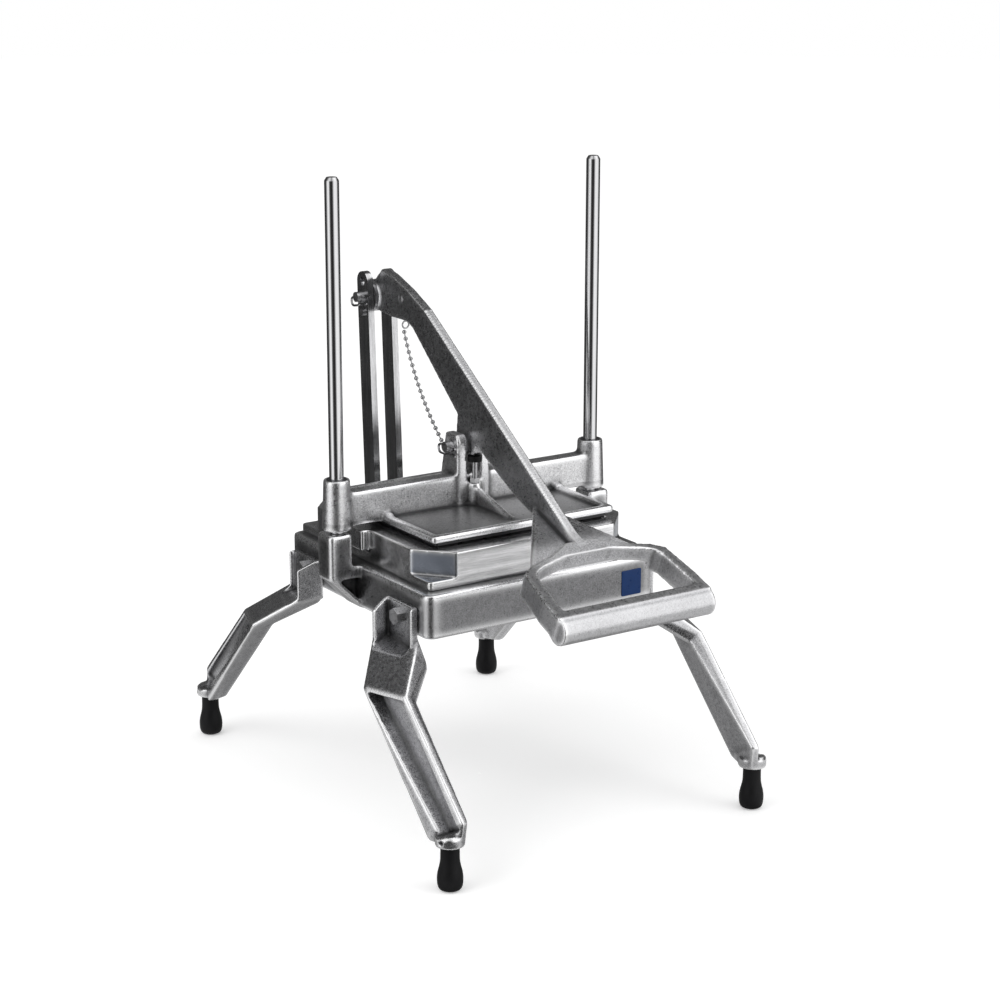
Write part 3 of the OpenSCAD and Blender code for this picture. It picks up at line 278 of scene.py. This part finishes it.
class Shade(Tree):
    """One material, with its Principled shader's constants."""

    def __init__(self, name, **constants):
        self.material = bpy.data.materials.new(name)
        self.material.use_nodes = True
        super().__init__(self.material.node_tree)
        self.shader = self.tree.nodes["Principled BSDF"]
        for key, value in constants.items():
            self.shader.inputs[key.replace("_", " ")].default_value = value

    def spot(self, stretch=(1, 1, 1)):
        """Object coordinates, each multiplied by its stretch."""
        place = self.node("ShaderNodeTexCoord", out=3)
        return self.node("ShaderNodeMapping", None, place, Scale=stretch)

    def noise(self, size, detail=2.0, rough=0.5, stretch=(1, 1, 1)):
        """Fractal noise whose largest lumps are about size metres."""
        return self.node("ShaderNodeTexNoise", None, Vector=self.spot(stretch), Scale=1 / size,
                         Detail=detail, Roughness=rough)

    def attribute(self, name):
        """The mesh's own attribute of that name."""
        return self.node("ShaderNodeAttribute", {"attribute_name": name}, out=2)

    def bump(self, height, depth):
        """A normal from a height; depth is what a height of 1 stands for, in metres."""
        return self.node("ShaderNodeBump", None, Height=height, Distance=depth, Strength=1.0)

    def finish(self, **links):
        for key, value in links.items():
            self.feed(self.shader.inputs[key.replace("_", " ")], value)
        return self.material


def scaled(colour, share):
    """A colour times a share, each channel at most 1."""
    return tuple(min(1.0, c * share) for c in colour)


def cast_material(name, tone, roughness, grain, shade=1.0, speckle=1.0, grip_at=None, shade_below=None):
    """Tumbled casting: salt-and-pepper grain, faint mottling, edges painted near white (partly wear, partly a
    painted highlight) and nooks painted dark (a painted shade).
    Shade scales its whole tone: painted light and shade, making lit and shaded copies of one aluminium.
    Speckle scales its grain's contrast. The web just behind y = grip_at is left as cast, rougher and more
    speckled, and painted paler, a painted light; the grip in front of it is a little so. Below the given z
    the tone is halved, a painted shade on the pusher's sunk field."""
    s = Shade(name, Metallic=1.0)
    broad = s.noise(26 * MM, 2.0, 0.5)
    blotch = s.noise(3.2 * MM, 3.0, 0.6)
    fine = s.noise(grain, 3.0, 0.65)
    cloud = (broad - 0.5) * 0.4 + (blotch - 0.5) * 0.9 + (fine - 0.5) * (2.2 * speckle) + 0.5
    colour = s.mix(cloud.clip(), scaled(tone, 0.5 * shade), scaled(tone, 1.45 * shade))
    rough = roughness + (blotch - 0.5) * 0.25 + (fine - 0.5) * 0.3
    if grip_at is not None:
        y = s.node("ShaderNodeSeparateXYZ", None, s.spot(), out=1) + broad * 20 * MM
        # The web behind the grip: rougher and more speckled as cast, and painted paler, a painted light; the
        # grip gets a little of it.
        raw_and_lit = y.step(grip_at + 40 * MM, grip_at + 20 * MM) - y.step(grip_at + 6 * MM, grip_at - 6 * MM) * 0.88
        pale = s.mix(((fine - 0.5) * 3.2 + 0.5).clip(), scaled(tone, 0.9), scaled(tone, 1.75))
        colour = s.mix(raw_and_lit, colour, pale)
        rough = rough + raw_and_lit * 0.3
    if shade_below is not None:
        z = s.node("ShaderNodeSeparateXYZ", None, s.spot(), out=2)
        # Painted shade: the tone is halved below this height, over the pusher's sunk plate field.
        field_shade = z.step(shade_below + 0.6 * MM, shade_below - 0.6 * MM)
        colour = s.mix(field_shade * 0.5, colour, (0, 0, 0))
    edge = s.attribute("edge")
    nook = s.attribute("nook")
    # Edges painted near white: partly wear, partly a painted highlight.
    colour = s.mix((edge * 1.15).clip(), colour, (0.97, 0.97, 0.98))
    # Nooks painted dark: a painted shade.
    colour = s.mix((nook * 0.95).clip(), colour, scaled(tone, 0.1))
    rough = rough - edge * 0.05 + nook * 0.2
    height = (fine - 0.5) * 1.0 + (blotch - 0.5) * 0.7
    normal = s.bump(height, 0.13 * MM)
    return s.finish(Base_Color=colour, Roughness=rough.clip(), Normal=normal)


def brushed_material(name, tone, roughness, along, wear_and_painted_light=True, corner=None):
    """Machined metal with fine brushing lines along one axis (0, 1 or 2). The faces across its front
    corners, given by corner, are painted a dark blue-grey, a painted shade."""
    s = Shade(name, Metallic=1.0)
    stretch = [1.0, 1.0, 1.0]
    stretch[along] = 0.025
    lines = s.noise(0.6 * MM, 3.0, 0.7, stretch)
    wide = s.noise(5 * MM, 2.0, 0.5, stretch)
    cloud = s.noise(30 * MM, 2.0, 0.5)
    streak = (lines - 0.5) * 1.6 + (wide - 0.5) * 1.6 + (cloud - 0.5) * 0.5 + 0.5
    colour = s.mix(streak.clip(), scaled(tone, 0.62), scaled(tone, 1.3))
    rough = roughness + (lines - 0.5) * 0.22 + (cloud - 0.5) * 0.15
    if corner is not None:
        x, y, z = (s.node("ShaderNodeSeparateXYZ", None, s.spot(), out=k) for k in range(3))
        a, b, distance, low, high = corner
        across = (s.sum("ABSOLUTE", x) * a - y * b).step(distance - 1.0 * MM, distance - 0.4 * MM)
        corner_shade = across * z.step(low, low + 1.5 * MM) * z.step(high, high - 1.5 * MM)
        # Corner faces painted a dark blue-grey: a painted shade.
        colour = s.mix(corner_shade, colour, s.mix(cloud, (0.15, 0.17, 0.21), (0.36, 0.39, 0.45)))
    # Edges painted pale (partly wear, partly a painted highlight) and nooks painted dark (a painted shade).
    if wear_and_painted_light:
        edge = s.attribute("edge")
        nook = s.attribute("nook")
        # Edges painted pale: partly wear, partly a painted highlight.
        colour = s.mix((edge * 0.7).clip(), colour, (0.9, 0.9, 0.9))
        # Nooks painted dark: a painted shade.
        colour = s.mix((nook * 0.7).clip(), colour, scaled(tone, 0.2))
    normal = s.bump(lines + wide * 0.5, 0.03 * MM)
    return s.finish(Base_Color=colour, Roughness=rough.clip(), Normal=normal)


def steel_material(name, tone, roughness):
    """Plain steel with light handling marks."""
    s = Shade(name, Metallic=1.0)
    cloud = s.noise(4 * MM, 3.0, 0.6)
    fine = s.noise(1.2 * MM, 2.0, 0.6)
    colour = s.mix((cloud * 0.6 + fine * 0.4).clip(), scaled(tone, 0.7), scaled(tone, 1.3))
    rough = roughness + (cloud - 0.5) * 0.25 + (fine - 0.5) * 0.1
    return s.finish(Base_Color=colour, Roughness=rough.clip(), Normal=s.bump(fine, 0.02 * MM))


def rod_material(tone):
    """Ground rod: very fine rings round it and faint lengthwise wear."""
    s = Shade("ground_rod", Metallic=1.0)
    rings = s.noise(0.5 * MM, 2.0, 0.6, (0.05, 0.05, 1))
    wear = s.noise(9 * MM, 3.0, 0.6, (1, 1, 0.15))
    colour = s.mix((rings * 0.4 + wear * 0.5).clip(), scaled(tone, 0.86), scaled(tone, 1.08))
    rough = 0.13 + (wear - 0.5) * 0.12 + (rings - 0.5) * 0.06
    return s.finish(Base_Color=colour, Roughness=rough.clip(), Normal=s.bump(rings, 0.004 * MM))


def rubber_material(tone):
    """Moulded rubber with a dusty, uneven sheen."""
    s = Shade("moulded_rubber", Metallic=0.0)
    s.shader.inputs["Specular IOR Level"].default_value = 0.22
    cloud = s.noise(7 * MM, 3.0, 0.6)
    fine = s.noise(0.5 * MM, 2.0, 0.6)
    colour = s.mix((cloud * 0.7 + fine * 0.3).clip(), scaled(tone, 0.6), scaled(tone, 2.4))
    rough = 0.5 + (cloud - 0.5) * 0.3 + (fine - 0.5) * 0.15
    return s.finish(Base_Color=colour, Roughness=rough.clip(), Normal=s.bump(fine + cloud * 2, 0.06 * MM))


def plastic_material(tone):
    """Near-black moulded plastic with fine scuffs; on the finger block it makes the gap under the pusher
    plate read dark.
    """
    s = Shade("black_plastic", Metallic=0.0)
    scuff = s.noise(1.4 * MM, 3.0, 0.6, (1, 1, 0.2))
    colour = s.mix(scuff, scaled(tone, 0.7), scaled(tone, 1.5))
    rough = 0.34 + (scuff - 0.5) * 0.2
    return s.finish(Base_Color=colour, Roughness=rough.clip(), Normal=s.bump(scuff, 0.02 * MM))


def label_material(tone):
    """Plain printed film with a faint sheen."""
    s = Shade("label_film", Metallic=0.0)
    s.shader.inputs["Specular IOR Level"].default_value = 0.25
    cloud = s.noise(6 * MM, 2.0, 0.5)
    fine = s.noise(0.4 * MM, 2.0, 0.5)
    colour = s.mix(cloud, scaled(tone, 0.85), scaled(tone, 1.2))
    rough = 0.3 + (cloud - 0.5) * 0.15
    return s.finish(Base_Color=colour, Roughness=rough, Normal=s.bump(fine + cloud * 3, 0.01 * MM))


# Meshes

def ring_mesh(name, rings):
    """A closed mesh from rings of points [ring, place round it, 3], joined into quads, with the first and
    the last ring drawn together to their middles."""
    first, last = (np.broadcast_to(rings[k].mean(0), rings[k].shape) for k in (0, -1))
    points = np.stack([first, *rings, last])
    index = np.arange(points.shape[0] * points.shape[1]).reshape(points.shape[:2])
    index = np.concatenate([index, index[:, :1]], axis=1)
    faces = np.stack([index[:-1, :-1], index[:-1, 1:], index[1:, 1:], index[1:, :-1]], -1).reshape(-1, 4)
    mesh = bpy.data.meshes.new(name)
    mesh.from_pydata(points.reshape(-1, 3), [], faces)
    work = bmesh.new()
    work.from_mesh(mesh)
    bmesh.ops.remove_doubles(work, verts=work.verts, dist=0.002 * MM)
    bmesh.ops.dissolve_degenerate(work, edges=work.edges, dist=0.001 * MM)
    bmesh.ops.recalc_face_normals(work, faces=work.faces)
    work.to_mesh(mesh)
    work.free()
    return mesh


def add_object(name, mesh, finish, body, node, smooth_angle=None):
    """Puts a finished mesh in the scene as a piece that rides on a body and stands for a CAD node."""
    piece = bpy.data.objects.new(name, mesh)
    bpy.context.scene.collection.objects.link(piece)
    mesh.materials.clear()
    mesh.materials.append(material(finish))
    mesh.polygons.foreach_set("use_smooth", np.ones(len(mesh.polygons), bool))
    if smooth_angle is not None:
        mesh.set_sharp_from_angle(angle=math.radians(smooth_angle))
    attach(piece, body)
    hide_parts(node)
    return piece


def soften(node, step, rounds):
    """The node's solid as an even mesh whose sharp edges are rounded: each round moves every point
    halfway to the mean of its neighbours. The attributes edge and nook hold how far the surface
    stands out of or into its wider mean."""
    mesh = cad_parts[node].data.copy()
    mesh.materials.clear()
    tidy = bmesh.new()
    tidy.from_mesh(mesh)
    bmesh.ops.remove_doubles(tidy, verts=tidy.verts, dist=0.001 * MM)
    tidy.to_mesh(mesh)
    tidy.free()
    work = bpy.data.objects.new(node + "_work", mesh)
    bpy.context.scene.collection.objects.link(work)
    remesh = work.modifiers.new("even", "REMESH")
    remesh.mode = "VOXEL"
    remesh.voxel_size = step
    remesh.adaptivity = 0
    bpy.context.view_layer.update()
    even = bpy.data.meshes.new_from_object(work.evaluated_get(bpy.context.evaluated_depsgraph_get()))
    bpy.data.objects.remove(work)
    count = len(even.vertices)
    place = np.empty(count * 3)
    even.vertices.foreach_get("co", place)
    place = place.reshape(-1, 3)
    pairs = np.empty(len(even.edges) * 2, np.int64)
    even.edges.foreach_get("vertices", pairs)
    a, b = pairs.reshape(-1, 2).T
    number = np.bincount(np.concatenate([a, b]), minlength=count)[:, None]

    def neighbours(values):
        total = np.stack([np.bincount(a, values[b, k], count) + np.bincount(b, values[a, k], count)
                          for k in range(values.shape[1])], 1)
        return total / np.maximum(number, 1)

    for _ in range(rounds):
        place = (place + neighbours(place)) / 2
    even.vertices.foreach_set("co", place.astype(np.float32).ravel())
    even.update()
    normal = np.empty(count * 3, np.float32)
    even.vertex_normals.foreach_get("vector", normal)
    wide = place.copy()
    for _ in range(MEAN_ROUNDS):
        wide = neighbours(wide)
    out = ((place - wide) * normal.reshape(-1, 3)).sum(1)[:, None]
    for _ in range(WEAR_AND_PAINTED_LIGHT_ROUNDS):
        out = (out + neighbours(out)) / 2
    for name, values in (("edge", out), ("nook", -out)):
        layer = even.attributes.new(name, "FLOAT", "POINT")
        share = np.clip(values[:, 0] / (FULL_WEAR_AND_PAINTED_LIGHT * step), 0, 1)
        layer.data.foreach_set("value", share.astype(np.float32))
    return even


def ring(count, turn=0.0):
    """Points [x, y] evenly round a circle of radius 1."""
    angle = np.arange(count) * 2 * math.pi / count + turn
    return np.stack([np.cos(angle), np.sin(angle)], 1)


def lathe(profile, axis_at, count):
    """A profile of [radius, height] points, turned round the upright axis at [x, y]."""
    profile = np.asarray(profile, float)
    points = np.zeros((len(profile), count, 3))
    points[..., :2] = profile[:, None, :1] * ring(count)[None] + np.asarray(axis_at)
    points[..., 2] = profile[:, 1:2]
    return points


def blended(profile, step=0.5 * MM):
    """A smooth curve through profile points: each span is a Catmull-Rom cubic."""
    p = np.asarray(profile, float)
    p = np.concatenate([2 * p[:1] - p[1:2], p, 2 * p[-1:] - p[-2:-1]])
    spans = []
    for i in range(1, len(p) - 2):
        n = max(2, int(np.linalg.norm(p[i + 1] - p[i]) / step))
        t = np.linspace(0, 1, n, endpoint=False)[:, None]
        spans.append(0.5 * (2 * p[i] + (p[i + 1] - p[i - 1]) * t
                            + (2 * p[i - 1] - 5 * p[i] + 4 * p[i + 1] - p[i + 2]) * t ** 2
                            + (3 * p[i] - p[i - 1] - 3 * p[i + 1] + p[i + 2]) * t ** 3))
    return np.concatenate(spans + [p[-2:-1]])


MATERIALS = {}


def material(name):
    """The named finish, made once."""
    if name in MATERIALS:
        return MATERIALS[name]
    scene = bpy.context.scene
    cast, metal, soft = scene.slicer_castings, scene.slicer_metal, scene.slicer_soft
    makers = {
        # One cast aluminium in lit and shaded copies: the factors 1.22 (pusher), 0.44 (base and link
        # bracket), 0.95 (legs) and 0.92 (lever) are painted light and shade.
        "casting": lambda: cast_material("cast_aluminium", cast.tone, cast.roughness, cast.grain, 1.22,
                                         shade_below=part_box("pusher_head")[0].z + PLATE_FIELD),
        "base": lambda: cast_material("base_casting", cast.tone, cast.roughness, cast.grain, 0.44, 0.8),
        "leg": lambda: cast_material("leg_casting", cast.tone, cast.roughness - 0.06, cast.grain, 0.95, 0.8),
        "lever": lambda: cast_material("lever_casting", cast.tone, cast.roughness - 0.04, cast.grain, 0.92,
                                       0.6, grip_at=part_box("lever_handle")[0].y + GRIP_LENGTH),
        "brushed": lambda: brushed_material("brushed_aluminium", (0.74, 0.74, 0.75), 0.22, 0,
                                            corner=CORNER_FACES),
        # The finger block is made near-black, which keeps the gap under the pusher plate dark.
        "fingers": lambda: plastic_material(soft.plastic),
        "blade": lambda: brushed_material("blade_steel", (0.7, 0.7, 0.71), 0.2, 0, wear_and_painted_light=False),
        "strip": lambda: brushed_material("link_strip", (0.56, 0.56, 0.57), 0.2, 2, wear_and_painted_light=False),
        "chain": lambda: steel_material("chain_steel", metal.steel_tone, 0.08),
        "rod": lambda: rod_material(metal.rod_tone),
        "steel": lambda: steel_material("turned_steel", metal.steel_tone, 0.3),
        "dark_steel": lambda: steel_material("dark_steel", metal.dark_tone, 0.36),
        "rubber": lambda: rubber_material(soft.rubber),
        "label": lambda: label_material(soft.label),
    }
    MATERIALS[name] = makers[name]()
    return MATERIALS[name]


def dress(node, name):
    """Gives a CAD node one of the finishes."""
    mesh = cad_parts[node].data
    mesh.materials.clear()
    mesh.materials.append(material(name))


# Operators, one for each group of pieces

class SLICER_OT_castings(bpy.types.Operator):
    """Cast pieces with rounded edges: base, link bracket, pusher head, lever and legs"""
    bl_idname = "slicer.castings"
    bl_label = "Castings"

    def execute(self, context):
        rounds = context.scene.slicer_castings.softness
        for node, (body, step, finish) in CASTINGS.items():
            add_object("cast_" + node, soften(node, step, rounds), finish, body, node)
        return {"FINISHED"}


class SLICER_OT_blade_frame(bpy.types.Operator):
    """Machined blade frame, finger block and blades"""
    bl_idname = "slicer.blade_frame"
    bl_label = "Blade frame"

    def execute(self, context):
        mesh = soften("blade_frame", BLADE_FRAME_STEP, BLADE_FRAME_ROUNDS)
        add_object("machined_blade_frame", mesh, "brushed", "frame", "blade_frame")
        dress("finger_block", "fingers")
        dress("lower_blades", "blade")
        dress("upper_blades", "blade")
        return {"FINISHED"}


class SLICER_OT_rods(bpy.types.Operator):
    """Ground guide rods with a bevelled tip"""
    bl_idname = "slicer.rods"
    bl_label = "Guide rods"

    def execute(self, context):
        for node in ("guide_rod_left", "guide_rod_right"):
            low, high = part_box(node)
            middle = (low + high) / 2
            r = (high.x - low.x) / 2
            profile = [[0.6 * r, low.z], [r - 0.4 * MM, low.z], [r, low.z + 0.4 * MM]]
            profile += [[r, z] for z in np.linspace(low.z + 1 * MM, high.z - 3.4 * MM, 60)]
            profile += [[r - inset, high.z - drop] for inset, drop in ROD_TIP] + [[0.3 * r, high.z]]
            mesh = ring_mesh(node, lathe(profile, (middle.x, middle.y), count=72))
            add_object("ground_" + node, mesh, "rod", "frame", node, 25)
        return {"FINISHED"}


class SLICER_OT_feet(bpy.types.Operator):
    """Moulded rubber feet and the bumper's finish"""
    bl_idname = "slicer.feet"
    bl_label = "Feet"

    def execute(self, context):
        for node in FEET:
            low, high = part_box(node)
            middle = (low + high) / 2
            r, top = (high.x - low.x) / 2, high.z
            curve = blended([[share * r, z] for share, z in FOOT_CURVE] + [[0.73 * r, top - 1.2 * MM]])
            rim = [[0.71 * r, top - 0.5 * MM], [0.66 * r, top], [0.4 * r, top]]
            profile = np.concatenate([[[0.5 * r, 0]], curve, rim])
            mesh = ring_mesh(node, lathe(profile, (middle.x, middle.y), count=64))
            add_object("rubber_" + node, mesh, "rubber", "frame", node, 40)
        dress("bumper", "rubber")
        return {"FINISHED"}


class SLICER_OT_label(bpy.types.Operator):
    """Plain label film: a rounded rectangle whose face is bulged towards its middle"""
    bl_idname = "slicer.label"
    bl_label = "Label"

    def execute(self, context):
        low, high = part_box("blank_label")
        middle = (low + high) / 2
        half = np.array(((high.x - low.x) / 2, (high.z - low.z) / 2))
        count = 96
        turn = ring(count, math.pi / count)
        edge = np.sign(turn) * (half - LABEL_CORNER) + turn * LABEL_CORNER
        layers = [(1.0, high.y)] + [(share, low.y - height) for share, height in LABEL_FACE]
        rings = np.zeros((len(layers), count, 3))
        for k, (share, y) in enumerate(layers):
            rings[k, :, 0] = middle.x + edge[:, 0] * share
            rings[k, :, 1] = y
            rings[k, :, 2] = middle.z + edge[:, 1] * share
        add_object("label_film", ring_mesh("label", rings), "label", "frame", "blank_label", 40)
        return {"FINISHED"}


class SLICER_OT_fittings(bpy.types.Operator):
    """Finishes of the screws, pins, bushings, link bars, clips and chain"""
    bl_idname = "slicer.fittings"
    bl_label = "Fittings"

    def execute(self, context):
        finishes = {
            "steel": ("blade_frame_screws", "foot_studs", "leg_bolts", "leg_washers", "leg_nuts",
                      "bracket_screws", "link_foot_bolt", "link_foot_nut", "finger_block_screws",
                      "bumper_screw", "bumper_nut", "lever_head_washers", "lever_pivot_pin", "link_head_pins",
                      "link_spacer_screws"),
            "chain": ("tether_chain", "chain_eye", "upper_clip", "lower_clip"),
            "dark_steel": ("rod_set_screws", "foot_lock_screws", "guide_bushings", "lever_head_bush"),
            "strip": ("link_bar_left", "link_bar_right"),
        }
        for name, nodes in finishes.items():
            for node in nodes:
                dress(node, name)
        return {"FINISHED"}


class SLICER_OT_stage(bpy.types.Operator):
    """Floor, cards for the metal to reflect, lamps, room and camera"""
    bl_idname = "slicer.stage"
    bl_label = "Stage"

    def execute(self, context):
        scene = context.scene
        scene.view_settings.view_transform = "Standard"
        back = self.make_camera(scene, scene.slicer_stage)
        self.make_world(scene, back)
        self.make_floor(scene)
        toward = math.degrees(math.atan2(back.y, back.x))
        for name, inner, outer, start, end, height, tone in CARDS:
            card = disc_mesh(name, inner, outer, toward + start, toward + end, height)
            self.add_card(scene, name, card, tone)
        self.make_lamps(scene, back)
        return {"FINISHED"}

    def make_world(self, scene, back):
        """White to the camera, bright and dark walls to reflections, and a plain level for the rest. The
        walls' tone is a ramp over the turn from the camera, one at eye level and one overhead."""
        world = bpy.data.worlds.new("studio")
        scene.world = world
        world.use_nodes = True
        w = Tree(world.node_tree)
        w.tree.nodes.clear()
        way = w.node("ShaderNodeTexCoord", out="Generated")
        ahead = Vector((back.x, back.y, 0)).normalized()
        x, y, z = (w.node("ShaderNodeSeparateXYZ", None, way, out=k) for k in range(3))
        turn = w.sum("ARCTAN2", x * -ahead.y + y * ahead.x, x * ahead.x + y * ahead.y) / (2 * math.pi) + 0.5
        level = w.mix(z.step(*OVERHEAD), self.room(w, turn, ROOM_LEVEL), self.room(w, turn, ROOM_HIGH))
        white = w.sum("MAXIMUM", w.light_path("Camera"), w.light_path("Transmission"))
        tone = w.mix(w.light_path("Glossy"), (scene.slicer_stage.fill,) * 3, level)
        tone = w.mix(white, tone, (1, 1, 1))
        shine = w.node("ShaderNodeBackground", None, tone)
        w.node("ShaderNodeOutputWorld", None, shine)

    def room(self, w, turn, tones):
        """A ramp of grey tones at turns in degrees, from -180 to 180 with 0 towards the camera."""
        stops = [(angle / 360 + 0.5, (tone,) * 3) for angle, tone in tones]
        return w.node("ShaderNodeValToRGB", {"stops": stops}, turn)

    def make_floor(self, scene):
        """A pale disc that keeps the object's shadow."""
        floor = bpy.data.objects.new("floor", disc_mesh("floor", 0.0, FLOOR_R, 0, 360, -0.2 * MM))
        scene.collection.objects.link(floor)
        s = Shade("pale_floor", Metallic=0.0, Roughness=0.9)
        s.shader.inputs["Specular IOR Level"].default_value = 0.0
        s.shader.inputs["Base Color"].default_value = (0.9, 0.9, 0.9, 1)
        s.shader.inputs["Emission Color"].default_value = (1, 1, 1, 1)
        s.feed(s.shader.inputs["Emission Strength"], s.light_path("Camera") * 0.3)
        floor.data.materials.append(s.material)
        floor.visible_glossy = False

    def add_card(self, scene, name, mesh, tone):
        """A glowing grey card that only reflections see."""
        s = Shade(name, Metallic=0.0, Roughness=1.0)
        s.shader.inputs["Specular IOR Level"].default_value = 0.0
        s.shader.inputs["Base Color"].default_value = (0, 0, 0, 1)
        s.shader.inputs["Emission Color"].default_value = (tone, tone, tone, 1)
        s.shader.inputs["Emission Strength"].default_value = 1.0
        card = bpy.data.objects.new(name, mesh)
        mesh.materials.append(s.material)
        scene.collection.objects.link(card)
        for kind in ("camera", "diffuse", "shadow", "transmission"):
            setattr(card, "visible_" + kind, False)

    def make_camera(self, scene, stage):
        """The photograph's camera. Returns the direction from the object back to it."""
        az, el, roll = stage.azimuth, stage.elevation, stage.roll
        back = Vector((math.sin(az) * math.cos(el), -math.cos(az) * math.cos(el), math.sin(el)))
        level = Vector((math.cos(az), math.sin(az), 0))
        up = back.cross(level)
        right = level * math.cos(roll) + up * math.sin(roll)
        up = back.cross(right)
        data = bpy.data.cameras.new("camera")
        data.sensor_width = SENSOR
        data.sensor_height = SENSOR
        data.sensor_fit = "HORIZONTAL"
        data.lens = stage.lens
        data.clip_end = 50
        camera = bpy.data.objects.new("camera", data)
        turn = Matrix((right, up, back)).transposed().to_4x4()
        camera.matrix_world = Matrix.Translation(Vector(stage.place)) @ turn
        scene.collection.objects.link(camera)
        scene.camera = camera
        return back

    def make_lamps(self, scene, back):
        """Two large soft boxes for the plain surfaces, from the upper left and the right of the camera."""
        side = Vector((-back.y, back.x, 0)).normalized()
        for name, ahead, aside, up, size, power in LAMPS:
            data = bpy.data.lights.new(name, "AREA")
            data.size = size
            data.energy = power
            lamp = bpy.data.objects.new(name, data)
            lamp.location = LAMP_AIM + back * ahead + side * aside + Vector((0, 0, up))
            lamp.visible_glossy = False
            lamp.rotation_euler = (LAMP_AIM - lamp.location).to_track_quat("-Z", "Y").to_euler()
            scene.collection.objects.link(lamp)


def disc_mesh(name, inner, outer, start, end, height):
    """A flat ring sector between two radii and two angles in degrees."""
    count = 73
    angle = np.radians(np.linspace(start, end, count))
    radius = np.array([max(inner, 1 * MM), outer])
    points = np.zeros((2, count, 3))
    points[..., 0] = radius[:, None] * np.cos(angle)
    points[..., 1] = radius[:, None] * np.sin(angle)
    points[..., 2] = height
    index = np.arange(2 * count).reshape(2, count)
    faces = np.stack([index[0, :-1], index[1, :-1], index[1, 1:], index[0, 1:]], 1)
    mesh = bpy.data.meshes.new(name)
    mesh.from_pydata(points.reshape(-1, 3), [], faces)
    return mesh


class SLICER_PT_panel(bpy.types.Panel):
    """The slicer's builders and sizes"""
    bl_idname = "SLICER_PT_panel"
    bl_label = "Slicer"
    bl_space_type = "VIEW_3D"
    bl_region_type = "UI"
    bl_category = "Slicer"

    def draw(self, context):
        for operator in OPERATORS:
            self.layout.operator(operator.bl_idname)
        for _, attribute in GROUPS:
            group = getattr(context.scene, attribute)
            for name in group.__annotations__:
                self.layout.prop(group, name)


GROUPS = ((SlicerCastings, "slicer_castings"), (SlicerMetal, "slicer_metal"), (SlicerSoft, "slicer_soft"),
          (SlicerStage, "slicer_stage"))
OPERATORS = (SLICER_OT_castings, SLICER_OT_blade_frame, SLICER_OT_rods, SLICER_OT_feet, SLICER_OT_label,
             SLICER_OT_fittings, SLICER_OT_stage)


def register():
    for group, attribute in GROUPS:
        bpy.utils.register_class(group)
        setattr(bpy.types.Scene, attribute, bpy.props.PointerProperty(type=group))
    for kind in OPERATORS + (SLICER_PT_panel,):
        bpy.utils.register_class(kind)


def unregister():
    for kind in (SLICER_PT_panel,) + OPERATORS[::-1]:
        bpy.utils.unregister_class(kind)
    for group, attribute in GROUPS[::-1]:
        delattr(bpy.types.Scene, attribute)
        bpy.utils.unregister_class(group)


def main():
    register()
    for operator in OPERATORS:
        area, name = operator.bl_idname.split(".")
        getattr(getattr(bpy.ops, area), name)()


if __name__ == "__main__":
    main()
